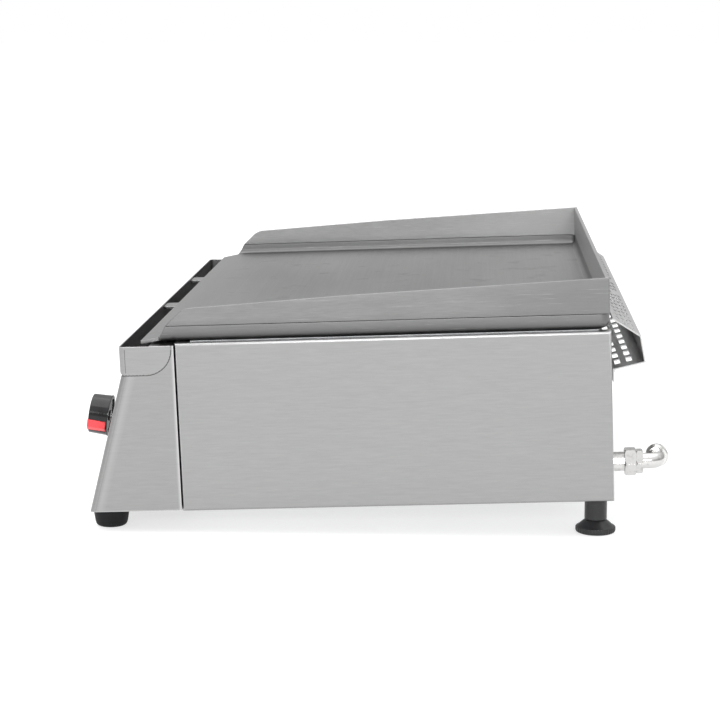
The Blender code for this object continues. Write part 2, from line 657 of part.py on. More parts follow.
# ---- feet ---------------------------------------------------------------------------------
def feet():
    """Rubber feet in front, and longer ones behind that screw out of a leg."""
    def under(y, z):
        return LIFT + y * math.sin(TILT) + z * math.cos(TILT)

    for side, sign in SIDES:
        x, y = sign * FRONT_FOOT[0], FRONT_FOOT[1] * math.cos(TILT)
        top_radius, low_radius = FRONT_FOOT_RADII
        top = under(FRONT_FOOT[1] - top_radius, TOE[1]) - GAP
        profile = [(0.0, top), (top_radius, top), (low_radius + 0.0005, 0.0040),
                   (low_radius - 0.0005, 0.0010), (low_radius - 0.0025, 0.0), (0.0, 0.0)]
        turned("front_foot_" + side, profile, "rubber", COUNTER, (x, y, 0.0), steps=28)
        x, y = sign * REAR_FOOT[0], REAR_FOOT[1] * math.cos(TILT)
        top = under(REAR_FOOT[1] - LEG_RADIUS, 0.0) - GAP
        socket = STUD_RADIUS + GAP
        leg = [(0.0, top), (LEG_RADIUS, top), (LEG_RADIUS, LEG_BOTTOM), (socket, LEG_BOTTOM),
               (socket, top - 0.002), (0.0, top - 0.002)]
        turned("rear_leg_" + side, leg, "rubber", COUNTER, (x, y, 0.0), steps=24)
        neck = LEG_BOTTOM - GAP
        pad = [(0.0, top - 0.003), (STUD_RADIUS, top - 0.003), (STUD_RADIUS, neck), (LEG_RADIUS, neck),
               (0.0165, FLANGE_TOP + 0.0034), (FLANGE_RADIUS - 0.0012, FLANGE_TOP),
               (FLANGE_RADIUS, FLANGE_TOP - 0.0015),
               (FLANGE_RADIUS, 0.0020), (FLANGE_RADIUS - 0.002, 0.0), (0.0, 0.0)]
        turned("rear_foot_" + side, pad, "rubber", COUNTER, (x, y, 0.0), steps=28)


griddle_pan()
splashes()
pan_supports()
side_panels()
front_housing()
grease_trough()
trough_fittings()
rear_and_base()
flue()
burners()
gas_taps()
igniter()
gas_supply()
grease_drawer()
feet()
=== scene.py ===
import json
import math

import bmesh
import bpy
from bpy.props import FloatProperty, FloatVectorProperty, IntProperty, PointerProperty
from bpy.types import Operator, Panel, PropertyGroup
from mathutils import Matrix, Vector


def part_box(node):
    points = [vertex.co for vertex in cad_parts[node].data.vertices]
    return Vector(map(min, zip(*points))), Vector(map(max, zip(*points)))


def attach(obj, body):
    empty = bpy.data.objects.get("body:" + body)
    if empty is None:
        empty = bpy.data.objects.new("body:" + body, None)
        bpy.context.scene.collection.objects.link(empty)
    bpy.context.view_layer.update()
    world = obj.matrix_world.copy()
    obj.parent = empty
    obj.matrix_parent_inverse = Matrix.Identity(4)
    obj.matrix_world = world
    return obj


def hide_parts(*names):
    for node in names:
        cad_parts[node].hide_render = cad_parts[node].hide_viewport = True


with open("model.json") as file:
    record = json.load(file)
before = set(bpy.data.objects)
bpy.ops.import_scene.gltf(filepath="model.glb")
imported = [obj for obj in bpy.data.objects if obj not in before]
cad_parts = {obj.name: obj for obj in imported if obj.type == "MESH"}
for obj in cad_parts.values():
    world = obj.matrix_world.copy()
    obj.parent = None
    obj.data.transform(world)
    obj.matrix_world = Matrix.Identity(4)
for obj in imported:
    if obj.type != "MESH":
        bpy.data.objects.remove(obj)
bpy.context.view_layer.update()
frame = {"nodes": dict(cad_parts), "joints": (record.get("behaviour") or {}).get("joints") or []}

bl_info = {
    "name": "Flat Top Griddle",
    "version": (1, 0, 0),
    "blender": (4, 5, 0),
    "location": "View3D > Sidebar > Griddle",
    "description": "Builds the visible pieces of a countertop gas griddle around its packed frame",
    "category": "Add Mesh",
}

JOINTS = {joint["name"]: joint for joint in frame["joints"]}

# ---- the leaning housing ------------------------------------------------------------------
# The housing stands raised at the back. Its own axes are x across, y from front to back and
# z up from the lower edge of its panels. The drawer slides along them, which gives the lean.
SHEET = 0.0015
GAP = 0.0003                 # between neighbouring pieces
SLIDE = Vector(JOINTS["drawer_slide"]["axis"])
LEAN = math.atan2(-SLIDE.z, -SLIDE.y)
SIDE_FRONT, SIDE_BACK, PANEL_TOP = -0.1654, 0.282, 0.177
BASE_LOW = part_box("base_plate")[0]
HOUSING = Matrix.Translation((
    0.0,
    BASE_LOW.y - SIDE_FRONT * math.cos(LEAN) + SHEET * math.sin(LEAN),
    BASE_LOW.z - SIDE_FRONT * math.sin(LEAN),
)) @ Matrix.Rotation(LEAN, 4, "X")

HALF_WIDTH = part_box("side_panel_right")[1].x
FLANGE = 0.015
TOE, BROW = (-0.264, 0.001), (-0.2232, 0.1441)
CHEEK_BACK = -0.1666
TROUGH_FRONT, TROUGH_BACK, TROUGH_MOUTH = -0.224, -0.169, -0.192
TROUGH_TOP, TROUGH_BOTTOM, TROUGH_RADIUS = 0.175, 0.1445, 0.027
TROUGH_MIDDLE = (TROUGH_BACK - TROUGH_RADIUS, TROUGH_BOTTOM + TROUGH_RADIUS)
STRAP_X, STRAP_WIDTH, STRAP_LOW = {"left": -0.175, "right": 0.052}, 0.030, 0.1705
DRAIN_Y, SPOUT_BORE, SPOUT_RADIUS, SPOUT_FLANGE, SPOUT_FOOT = -0.2065, 0.0068, 0.0080, 0.0100, 0.086
PAN_HALF, PAN_FRONT, PAN_BACK, RIM_FRONT = 0.361, -0.183, 0.281, -0.1750
PLATE_TOP, PLATE, PAN_RIM, PAN_RADIUS = 0.1825, 0.004, 0.1945, 0.010
APRON_TIP = (-0.202, 0.179)
SPLASH_SHEET, SPLASH_CORNER = 0.004, 0.007
SPLASH_TOP = ((-0.1555, 0.2126), (0.0178, 0.2217), (PAN_BACK, 0.2315))
PANEL_LEAN = math.atan2(BROW[0] - TOE[0], BROW[1] - TOE[1])
SIDES = (("left", -1), ("right", 1))

KNOB_X, KNOB_Z, KNOB_RADIUS, KNOB_BACK, KNOB_FACE = 0.300, 0.0892, 0.0221, 0.0090, 0.0298
POINTER_ANGLE, POINTER_WIDTH, POINTER_PROUD, POINTER_BACK = -27.0, 0.0135, 0.0010, 0.0108
POINTER_DEPTH = 0.0045       # from the knob's side to the floor of the pointer's slot
SPINDLE_RADIUS, SPINDLE_END, KNOB_PUSH, TAP_TILT = 0.0030, 0.0220, 0.0035, 6.0
SPINDLE_HOLE, IGNITER_HOLE = 0.0065, 0.0088
IGNITER_X, IGNITER_Z, IGNITER_BORE, IGNITER_THREAD = 0.235, 0.110, 0.0053, 0.0085
DRAWER_MIDDLE, DRAWER_OPENING, DRAWER_PLATE = 0.040, (0.202, 0.040), (0.220, 0.052, 0.002)
HANDLE_HALF, HANDLE_REACH, HANDLE_RADIUS = 0.045, 0.024, 0.004
FLUE_HALF = 0.335
FLUE_PROFILE = ((0.2843, 0.1850), (0.3127, 0.1660), (0.3168, 0.1400), (0.2843, 0.1330), (0.2843, 0.1195))
FLUE_SCREWS, FLUE_SCREW_Z = (-0.300, 0.0, 0.300), 0.1262
FLUE_FIELDS = ((0.035, 0.40), (0.44, 0.56), (0.60, 0.965))  # open stretches, as shares of its length
FLUE_ROWS = 4                # of staggered openings in its upper face
FLUE_MARGIN = 0.0052         # plain strip along the two bends of that face
VENT_LOW, VENT_HIGH = (-0.0125, 0.2880, 0.125), (0.0125, 0.2942, 0.145)
VENT_COUNT, VENT_PITCH, VENT_ROW = 17, 0.0375, 0.0122
PIPE_X, PIPE_Z, ELBOW_RADIUS = 0.300, 0.0273, 0.0082
NUT_BACK, NUT_RADII = (0.2968, 0.3088, 0.3160), (0.0155, 0.0137)
ELBOW_Y, ELBOW_BEND, ELBOW_END_X = 0.333, 0.0112, 0.269
COLLAR_RADIUS, COLLAR_LENGTH = 0.0118, 0.0120
GROOVE = 0.965               # share of the radius that the grooves leave on a rear foot

CAMERA_PLACE, CAMERA_YAW, CAMERA_PITCH, CAMERA_LENS = (2.433, 0.1092, 0.5496), -3.34, 9.95, 102.7
SAME = 1e-5                  # points closer than this share a coordinate


def panel_y(z):
    """Where the outer face of the sloping front panel stands at height z."""
    return BROW[0] + (z - BROW[1]) * math.tan(PANEL_LEAN)


def turned(angle, axis):
    return Matrix.Rotation(math.radians(angle), 4, axis)


def seat_at(place, angle=0.0, axis="X"):
    """A seat in the housing, turned by an angle in degrees."""
    return HOUSING @ Matrix.Translation(place) @ turned(angle, axis)


def on_panel(x, z, twist=0.0, tilt=0.0):
    """A seat on the front panel: z out of it, tilted towards level, and turned about that z."""
    return seat_at((x, panel_y(z), z), 90 + tilt - math.degrees(PANEL_LEAN)) @ turned(twist, "Z")


def arc(centre, radius, first, last, steps):
    """Points (u, v) along an arc, its angles in degrees."""
    turns = [math.radians(first + (last - first) * step / steps) for step in range(steps + 1)]
    return [(centre[0] + radius * math.cos(t), centre[1] + radius * math.sin(t)) for t in turns]


def bent(corners, radius, steps=8):
    """A path through corners, with each corner eased into a bend."""
    path = [Vector(corners[0])]
    for before, corner, after in zip(corners, corners[1:], corners[2:]):
        corner = Vector(corner)
        inward = (Vector(before) - corner).normalized()
        onward = (Vector(after) - corner).normalized()
        reach = radius / math.tan(inward.angle(onward) / 2)
        start, finish = corner + inward * reach, corner + onward * reach
        for step in range(steps + 1):
            t = step / steps
            path.append(start * (1 - t) ** 2 + corner * 2 * t * (1 - t) + finish * t ** 2)
    return path + [Vector(corners[-1])]


# ---- selecting ----------------------------------------------------------------------------
SORTS = {"VERT": "verts", "EDGE": "edges", "FACE": "faces"}


def lies(**places):
    """A test for points, edges and faces that have all their corners at these coordinates."""
    def test(item):
        corners = item.verts if hasattr(item, "verts") else [item]
        return all(
            abs(getattr(corner.co, axis) - value) < SAME
            for corner in corners for axis, value in places.items()
        )
    return test


def looks(*directions):
    """A test for faces that look along any of these directions, within two degrees."""
    return lambda face: any(face.normal.dot(Vector(way).normalized()) > 0.9995 for way in directions)


def upright(edge):
    """Whether an edge of a flat piece runs through its thickness."""
    return abs(edge.verts[0].co.z - edge.verts[1].co.z) > 1e-4


# ---- modelling ----------------------------------------------------------------------------
class Bench:
    """A piece on the bench: a primitive that is shaped in edit mode, finished and put in place."""

    def __init__(self, name, primitive, scale=(1.0, 1.0, 1.0), at=(0.0, 0.0, 0.0), turn=(0.0, 0.0, 0.0),
                 **kind):
        if bpy.context.object and bpy.context.object.mode != "OBJECT":
            bpy.ops.object.mode_set(mode="OBJECT")
        bpy.ops.object.select_all(action="DESELECT")
        add = getattr(bpy.ops.mesh, f"primitive_{primitive}_add")
        if primitive in ("cube", "plane", "grid"):
            kind["size"] = 1.0
        add(location=at, rotation=[math.radians(angle) for angle in turn], **kind)
        self.piece = bpy.context.object
        self.piece.name = name
        self.piece.scale = scale
        bpy.ops.object.transform_apply(location=True, rotation=True, scale=True)
        bpy.ops.object.mode_set(mode="EDIT")

    def pick(self, sort, test):
        bpy.ops.mesh.select_mode(type=sort)
        bpy.ops.mesh.select_all(action="DESELECT")
        mesh = bmesh.from_edit_mesh(self.piece.data)
        mesh.normal_update()
        found = [item for item in getattr(mesh, SORTS[sort]) if test(item)]
        if not found:
            raise RuntimeError(f"{self.piece.name}: nothing to select")
        for item in found:
            item.select_set(True)
        bmesh.update_edit_mesh(self.piece.data)
        return self

    def pick_all(self):
        bpy.ops.mesh.select_mode(type="VERT")
        bpy.ops.mesh.select_all(action="SELECT")
        return self

    def extrude(self, move):
        bpy.ops.mesh.extrude_region_move(TRANSFORM_OT_translate={"value": move})
        return self

    def move(self, move):
        bpy.ops.transform.translate(value=move)
        return self

    def resize(self, factors, centre):
        bpy.ops.transform.resize(value=factors, center_override=centre)
        return self

    def bevel(self, width, segments):
        bpy.ops.mesh.bevel(offset=width, segments=segments, affect="EDGES")
        return self

    def inset(self, margin, each=False):
        bpy.ops.mesh.inset(thickness=margin, depth=0.0, use_individual=each)
        return self

    def remove(self):
        bpy.ops.mesh.delete(type="FACE")
        return self

    def slice(self, point, normal):
        """Cut off all that lies beyond a plane and close the cut."""
        self.pick_all()
        bpy.ops.mesh.bisect(plane_co=point, plane_no=normal, use_fill=True, clear_outer=True)
        return self

    def leave(self):
        bpy.ops.object.mode_set(mode="OBJECT")
        return self

    def take(self):
        """Make this piece the only one selected, and the active one."""
        bpy.ops.object.select_all(action="DESELECT")
        self.piece.select_set(True)
        bpy.context.view_layer.objects.active = self.piece

    def enter(self):
        self.take()
        bpy.ops.object.mode_set(mode="EDIT")
        return self

    def apply(self, kind, **settings):
        if self.piece.mode == "EDIT":
            self.leave()
        self.take()
        modifier = self.piece.modifiers.new("step", kind)
        for setting, value in settings.items():
            setattr(modifier, setting, value)
        bpy.ops.object.modifier_apply(modifier=modifier.name)
        return self

    def carve(self, tool, operation="DIFFERENCE"):
        """Cut this piece with another one, which is used up."""
        tool.sound()
        self.sound()
        self.apply("BOOLEAN", operation=operation, solver="EXACT", object=tool.piece)
        bpy.data.objects.remove(tool.piece)
        return self

    def sound(self, outer=None):
        """Merge doubled points and turn the faces outwards; outer settles which side of a sheet is out."""
        if self.piece.mode != "EDIT":
            self.enter()
        self.pick_all()
        bpy.ops.mesh.remove_doubles(threshold=2e-6)
        bpy.ops.mesh.normals_make_consistent(inside=False)
        if outer:
            way = Vector(outer)
            mesh = bmesh.from_edit_mesh(self.piece.data)
            mesh.normal_update()
            sure = max(mesh.faces, key=lambda face: abs(face.normal.dot(way)) * face.calc_area())
            if sure.normal.dot(way) < 0:
                self.pick_all()
                bpy.ops.mesh.flip_normals()
        return self.leave()

    def wall(self, thickness, outer):
        self.sound(outer)
        return self.apply("SOLIDIFY", thickness=thickness, offset=-1.0, use_even_offset=True)

    def soften(self, width, segments=3, angle=30):
        if self.piece.mode == "EDIT":
            self.sound()
        return self.apply("BEVEL", width=width, segments=segments, limit_method="ANGLE",
                          angle_limit=math.radians(angle), harden_normals=False)

    def place(self, seat=HOUSING):
        """Shade the piece and put it in its seat, with its place in its mesh."""
        if self.piece.mode == "EDIT":
            self.sound()
        self.take()
        bpy.ops.object.shade_smooth_by_angle(angle=math.radians(32))
        self.apply("WEIGHTED_NORMAL", keep_sharp=True)
        return self.seat(seat)

    def seat(self, seat):
        """Move the piece and write its place into its mesh."""
        if self.piece.mode == "EDIT":
            self.leave()
        self.piece.matrix_world = seat
        self.take()
        bpy.ops.object.transform_apply(location=True, rotation=True, scale=True)
        return self

    def hand_over(self, finish, body, slot, *nodes):
        """Give the piece its finish, its body and the nodes that it stands for."""
        self.piece.data.materials.clear()
        self.piece.data.materials.append(finish_for(finish))
        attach(self.piece, body)
        if nodes:
            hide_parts(*nodes)
        return self

    def paint(self, finish, test):
        """Give a second finish to the faces that pass a test."""
        self.piece.data.materials.append(finish_for(finish))
        for face in self.piece.data.polygons:
            if test(face):
                face.material_index = 1


def path(name, points):
    """A bench with a line of edges through points, drawn out of a single point."""
    bench = Bench(name, "plane", scale=(1e-3, 1e-3, 1e-3), at=points[0])
    bench.pick_all()
    bpy.ops.mesh.merge(type="CENTER")
    for here, there in zip(points, points[1:]):
        bench.extrude(Vector(there) - Vector(here))
    return bench


def slab(name, outline, low, depth, axis="x"):
    """A solid of a closed outline: (y, z) drawn out along x, or (x, y) drawn out along z."""
    points = [(low, u, v) if axis == "x" else (u, v, low) for u, v in outline]
    bench = path(name, points)
    ends = (Vector(points[0]), Vector(points[-1]))
    bench.pick("VERT", lambda vert: any((vert.co - end).length < 1e-6 for end in ends))
    bpy.ops.mesh.edge_face_add()
    bench.pick_all()
    bpy.ops.mesh.edge_face_add()
    bench.pick_all()
    return bench.extrude((depth, 0.0, 0.0) if axis == "x" else (0.0, 0.0, depth))


def box(name, low, high):
    low, high = Vector(low), Vector(high)
    return Bench(name, "cube", scale=high - low, at=(low + high) / 2)


def spun(name, profile, steps=48):
    """A (radius, height) profile turned about its own z."""
    bench = path(name, [(radius, 0.0, height) for radius, height in profile])
    bench.pick_all()
    bpy.ops.mesh.spin(steps=steps, angle=math.tau, center=(0, 0, 0), axis=(0, 0, 1))
    return bench


def rod(name, points, radius, sides=6):
    """A round rod or tube along points, with closed ends."""
    bench = path(name, points).leave()
    bpy.ops.object.convert(target="CURVE")
    line = bench.piece.data
    line.bevel_depth = radius
    line.bevel_resolution = sides
    line.use_fill_caps = True
    bpy.ops.object.convert(target="MESH")
    bench.piece = bpy.context.object
    return bench


# ---- wiring finishes ----------------------------------------------------------------------
class Wire:
    """A socket that takes part in arithmetic: each step adds its Math node."""

    def __init__(self, finish, socket):
        self.finish = finish
        self.socket = socket

    def math(self, operation, first, second):
        return self.finish.add("Math", {"operation": operation}, {0: first, 1: second})

    def __add__(self, other):
        return self.math("ADD", self, other)

    __radd__ = __add__

    def __sub__(self, other):
        return self.math("SUBTRACT", self, other)

    def __rsub__(self, other):
        return self.math("SUBTRACT", other, self)

    def __mul__(self, other):
        return self.math("MULTIPLY", self, other)

    def ramp(self, low, high):
        """0 below low, 1 above high and straight in between."""
        limits = {"Value": self, "From Min": low, "From Max": high}
        return self.finish.add("MapRange", {"clamp": True}, limits)


class Finish:
    """A material being wired from its Principled shader backwards."""

    def __init__(self, name):
        self.material = bpy.data.materials.new(name)
        self.material.use_nodes = True
        self.tree = self.material.node_tree
        self.shader = self.tree.nodes["Principled BSDF"]

    def add(self, kind, settings, sockets, output=0):
        """Add a node: its type, its settings, then the values or wires of its sockets."""
        node = self.tree.nodes.new("ShaderNode" + kind)
        for setting, value in settings.items():
            setattr(node, setting, value)
        for name, value in sockets.items():
            if isinstance(value, Wire):
                self.tree.links.new(value.socket, node.inputs[name])
            else:
                node.inputs[name].default_value = value
        return Wire(self, node.outputs[output])

    def coordinates(self, scale=1.0):
        """Object coordinates, brought to the housing's own axes and stretched."""
        scale = scale if isinstance(scale, tuple) else (scale, scale, scale)
        place = self.add("TexCoord", {}, {}, "Object")
        home = HOUSING.inverted().translation
        level = self.add("Mapping", {}, {"Vector": place, "Rotation": (-LEAN, 0.0, 0.0), "Location": home})
        return self.add("Mapping", {}, {"Vector": level, "Scale": scale})

    def noise(self, scale, detail=4.0, rough=0.55):
        return self.add("TexNoise", {}, {
            "Vector": self.coordinates(scale), "Scale": 1.0, "Detail": detail, "Roughness": rough,
        })

    def axis(self, name):
        return self.add("SeparateXYZ", {}, {"Vector": self.coordinates()}, name.upper())

    def blend(self, factor, first, second):
        """Mix two colours, given as (r, g, b) or wires; 6 and 7 are the node's colour sockets."""
        ends = [colour if isinstance(colour, Wire) else (*colour, 1.0) for colour in (first, second)]
        return self.add("Mix", {"data_type": "RGBA"}, {0: factor, 6: ends[0], 7: ends[1]}, 2)

    def bump(self, height, strength, distance):
        return self.add("Bump", {}, {"Height": height, "Strength": strength, "Distance": distance})

    def set(self, **sockets):
        """Set the shader's sockets: numbers and colours stay on the socket, wires are linked."""
        for name, value in sockets.items():
            socket = self.shader.inputs[name.replace("_", " ")]
            if isinstance(value, Wire):
                self.tree.links.new(value.socket, socket)
            elif isinstance(value, tuple):
                socket.default_value = (*value, 1.0)
            else:
                socket.default_value = value
        return self.material


def grey(level, warmth=0.0):
    return (level * (1 + warmth), level, level * (1 - warmth))


GRAINS = {"along_y": (300.0, 70.0, 900.0), "along_x": (60.0, 900.0, 900.0)}


def brushed_steel(name, grain, tone, roughness=0.34, painted_fold_highlights=(), painted_bend_light=False):
    """Fine-ground sheet steel: a directional grain, cloudy tone, faint smears and painted highlights along the
    folds.

    A fold highlight is (axis, position, reach, strength): the painted highlight spreads over reach, to
    brightest at position.
    The bend option paints a shade line at the crease and a highlight strip behind the front corner of a cheek."""
    finish = Finish(name)
    lines = finish.noise(GRAINS[grain], 6.0, 0.65)
    flecks = finish.noise(tuple(step * 0.5 for step in GRAINS[grain]), 3.0)
    clouds = finish.noise((3.4, 3.4, 5.0), 3.0)
    smears = finish.noise((16.0, 9.0, 30.0), 5.0).ramp(0.56, 0.74)
    shade = (lines * 0.40 + flecks * 0.40 + clouds * 0.20).ramp(0.30, 0.70)
    colour = finish.blend(shade, grey(tone * 0.93), grey(tone * 1.07))
    # painted highlight: the colour is lightened towards each folded edge, where light catches the bend
    for axis, position, reach, strength in painted_fold_highlights:
        near = finish.axis(axis).ramp(position - reach, position)
        colour = finish.blend(near * strength, colour, grey(min(0.95, tone * 1.8)))
    # painted shade and light behind the cheek's rounded front corner: a darker crease line, then a lighter
    # strip
    if painted_bend_light:
        depth = finish.axis("y") - (finish.axis("z") * math.tan(PANEL_LEAN) + panel_y(0.0))
        painted_crease_shade = depth.ramp(0.0052, 0.0060) * (1 - depth.ramp(0.0062, 0.0070))
        strip = depth.ramp(0.0070, 0.0095) * (1 - depth.ramp(0.0110, 0.0170))
        colour = finish.blend(strip * 0.45, colour, grey(tone * 1.32))
        colour = finish.blend(painted_crease_shade * 0.45, colour, grey(tone * 0.72))
    return finish.set(
        Base_Color=colour,
        Metallic=1.0,
        Roughness=roughness + lines * 0.16 + smears * 0.05 - 0.08,
        Normal=finish.bump(lines, 0.10, 0.0004),
        Anisotropic=0.25,
    )


def pan_wall(name, tone, painted_rear_light_gain=0.80):
    """The welded sides of the pan: ground steel with scuffs, a painted light that changes towards the rear and
    a painted shade towards the foot.
    """
    finish = Finish(name)
    lines = finish.noise(GRAINS["along_y"], 5.0, 0.6)
    clouds = finish.noise((7.0, 5.0, 22.0), 4.0)
    scuffs = finish.noise((60.0, 14.0, 420.0), 5.0, 0.7).ramp(0.60, 0.72)
    height = finish.axis("z")
    depth = finish.axis("y")
    # painted shade: the wall is darkened towards its foot, where its rounded lower edge turns away from the
    # light
    foot = 1 - height.ramp(0.1800, 0.2020)
    # painted reflection: towards the rear the tone is scaled by the gain, standing in for the reflections there
    painted_rear_light = depth.ramp(0.12, 0.26)
    level = (lines * 0.35 + clouds * 0.65).ramp(0.30, 0.72)
    colour = finish.blend(level, grey(tone * 0.80), grey(tone * 1.22))
    colour = finish.blend(foot * 0.80, colour, grey(tone * 0.45))
    colour = finish.blend(painted_rear_light * 0.6, colour, grey(tone * painted_rear_light_gain))
    colour = finish.blend(scuffs * 0.35, colour, grey(tone * 1.9))
    return finish.set(
        Base_Color=colour,
        Metallic=1.0,
        Roughness=0.36 + clouds * 0.14 - scuffs * 0.06,
        Normal=finish.bump(lines * 0.7 + scuffs * 0.3, 0.12, 0.0004),
    )


def plate_steel(name, tone):
    """The ground cooking plate: grinding lines across it, seasoning clouds and small stains."""
    finish = Finish(name)
    lines = finish.noise((5.0, 700.0, 700.0), 6.0, 0.7)
    clouds = finish.noise((2.6, 5.0, 8.0), 4.0)
    stains = finish.noise((24.0, 30.0, 24.0), 3.0).ramp(0.60, 0.72)
    depth = finish.axis("y")
    # painted sheen: the front of the plate and its apron are painted lighter, standing in for the brighter
    # reflection there
    apron = 1 - depth.ramp(-0.190, -0.090)
    level = (lines * 0.45 + clouds * 0.55).ramp(0.32, 0.68)
    colour = finish.blend(level, grey(tone * 0.80), grey(tone * 1.20))
    colour = finish.blend(stains * 0.30, colour, grey(tone * 0.62, 0.02))
    colour = finish.blend(apron * 0.60, colour, grey(tone * 1.15))
    return finish.set(
        Base_Color=colour,
        Metallic=1.0,
        Roughness=0.40 + clouds * 0.16 + stains * 0.08 - 0.06,
        Normal=finish.bump(lines, 0.16, 0.0004),
    )


def zinc(name, tone):
    """Galvanised sheet with its spangle."""
    finish = Finish(name)
    spangle = finish.add("TexVoronoi", {"feature": "F1"}, {
        "Vector": finish.coordinates(90.0), "Scale": 1.0,
    }, "Color")
    level = finish.add("SeparateXYZ", {}, {"Vector": spangle}, "X")
    dust = finish.noise(40.0, 4.0)
    shade = (level * 0.6 + dust * 0.4).ramp(0.2, 0.8)
    colour = finish.blend(shade, grey(tone * 0.8, -0.02), grey(tone * 1.2, -0.02))
    return finish.set(
        Base_Color=colour,
        Metallic=1.0,
        Roughness=0.42 + level * 0.16,
        Normal=finish.bump(level * 0.5 + dust * 0.5, 0.06, 0.0006),
    )


def plated(name, colour, roughness, wear=0.35, grime=(0.10, 0.09, 0.08)):
    """Plated or drawn metal: tiny pits, tarnish in clouds, and a slightly uneven polish."""
    finish = Finish(name)
    pits = finish.noise(900.0, 3.0)
    clouds = finish.noise(70.0, 4.0)
    tarnish = finish.noise(150.0, 5.0).ramp(0.55, 0.75)
    base = finish.blend(clouds.ramp(0.3, 0.7), tuple(c * 0.90 for c in colour), colour)
    return finish.set(
        Base_Color=finish.blend(tarnish * wear, base, grime),
        Metallic=1.0,
        Roughness=roughness + clouds * 0.08 + tarnish * 0.12,
        Normal=finish.bump(pits * 0.5 + clouds * 0.5, 0.08, 0.0003),
    )


def rough_iron(name, tone):
    """Sand-cast iron: a grainy skin with a bloom of rust."""
    finish = Finish(name)
    sand = finish.noise(1100.0, 5.0, 0.7)
    rust = finish.noise(60.0, 5.0).ramp(0.55, 0.75)
    colour = finish.blend(sand.ramp(0.3, 0.7), grey(tone * 0.7), grey(tone * 1.3))
    return finish.set(
        Base_Color=finish.blend(rust * 0.5, colour, (0.16, 0.07, 0.03)),
        Metallic=0.85 - rust * 0.5,
        Roughness=0.62 + sand * 0.20,
        Normal=finish.bump(sand, 0.5, 0.0006),
    )


def moulded(name, colour, roughness, pebble=0.05, dust=0.20, coat=0.0, shine=0.5):
    """Moulded plastic or rubber: a fine pebble, dust that settles on it and rubbed patches."""
    finish = Finish(name)
    skin = finish.noise(1600.0, 3.0)
    rubbed = finish.noise(85.0, 4.0)
    specks = finish.noise(420.0, 5.0, 0.7).ramp(0.60, 0.72)
    base = finish.blend(rubbed.ramp(0.35, 0.7), colour, tuple(c * 1.35 + 0.004 for c in colour))
    return finish.set(
        Base_Color=finish.blend(specks * dust, base, tuple(0.10 + c * 0.5 for c in colour)),
        Roughness=roughness + rubbed * 0.10 + specks * 0.10,
        Normal=finish.bump(skin * 0.6 + rubbed * 0.4, pebble, 0.0004),
        Specular_IOR_Level=shine,
        Coat_Weight=coat,
        Coat_Roughness=0.06,
    )


FINISHES = {}


def finish_for(name):
    """Each finish is wired once and shared by the pieces that have it."""
    looks_of = bpy.context.scene.griddle_finishes
    steel, pan = looks_of.steel, looks_of.pan
    # painted highlights along the folded edges of each sheet: (axis, position, reach, strength)
    side_fold_painted_highlights = (
        ("z", PANEL_TOP, 0.0032, 0.80), ("y", SIDE_FRONT, -0.0026, 0.70), ("y", SIDE_BACK, 0.0020, 0.40))
    cheek_fold_painted_highlights = (("y", CHEEK_BACK, 0.0034, 0.95), ("z", TOE[1], -0.0014, 0.70))
    trough_fold_painted_highlights = (("z", TROUGH_TOP, 0.0012, 0.80),)
    recipes = {
        "side_sheet": (brushed_steel, "along_y", steel, 0.34, side_fold_painted_highlights),
        # True turns on the painted crease shade and highlight strip behind the front corner
        "cheek_sheet": (brushed_steel, "along_y", steel * 0.96, 0.34, cheek_fold_painted_highlights, True),
        "front_sheet": (brushed_steel, "along_x", steel * 0.96),
        "trough_sheet": (brushed_steel, "along_y", steel, 0.32, trough_fold_painted_highlights),
        "rear_sheet": (brushed_steel, "along_x", steel * 0.92, 0.38),
        "flue_sheet": (brushed_steel, "along_x", steel * 1.6, 0.30),
        "splash_sheet": (pan_wall, pan),
        # painted light: the inner faces of the splashes get a lighter copy of the pan wall finish
        "splash_inside": (pan_wall, pan * 1.35, 1.35),
        "plate": (plate_steel, looks_of.plate),
        "zinc": (zinc, 0.46),
        "nickel": (plated, (0.66, 0.655, 0.645), 0.13, 0.45, (0.16, 0.15, 0.14)),
        "polished": (plated, (0.66, 0.66, 0.66), 0.18, 0.10),
        "brass": (plated, (0.66, 0.47, 0.20), 0.30),
        "copper": (plated, (0.66, 0.34, 0.21), 0.32, 0.5, (0.12, 0.07, 0.05)),
        # shared by the weld bead and the dark bead that paints the shade of a crease
        "weld": (plated, (0.13, 0.13, 0.13), 0.46, 0.6),
        "iron": (rough_iron, 0.10),
        "rubber": (moulded, (0.006, 0.006, 0.007), 0.55, 0.30, 0.12, 0.0, 0.2),
        "foot_plastic": (moulded, (0.008, 0.008, 0.009), 0.30, 0.20, 0.35),
        "gloss_black": (moulded, tuple(looks_of.knob), 0.07, 0.01, 0.02, 0.0, 0.36),
        "pointer_red": (moulded, tuple(looks_of.pointer), 0.30, 0.04, 0.04, 0.3),
    }
    if name not in FINISHES:
        make, *settings = recipes[name]
        FINISHES[name] = make(name, *settings)
    return FINISHES[name]


# ---- what a user may change ---------------------------------------------------------------
def length(name, description, default, low, high):
    return FloatProperty(
        name=name, description=description, default=default, min=low, max=high, unit="LENGTH", precision=4)


class GriddleSizes(PropertyGroup):
    splash_thickness: length(
        "Splash thickness", "Thickness of the sheets welded on the rims of the pan", SPLASH_SHEET, 0.002, 0.005)
    fold_radius: length(
        "Fold radius", "Outer radius of the folded edges of the side panels", 0.0026, 0.001, 0.005)
    corner_radius: length(
        "Front corner radius", "Outer radius of the upright front corners", 0.006, 0.003, 0.008)
    knob_radius: length(
        "Knob radius", "Radius of the round control knobs", KNOB_RADIUS, 0.020, 0.0225)
    flue_slots: IntProperty(
        name="Columns of the flue cover", description="Columns that its upper face is laid out in",
        default=51, min=51, max=67)
    weld_bead: length(
        "Weld bead", "Thickness of the bead that closes the ends of the trough", 0.0011, 0.0005, 0.002)


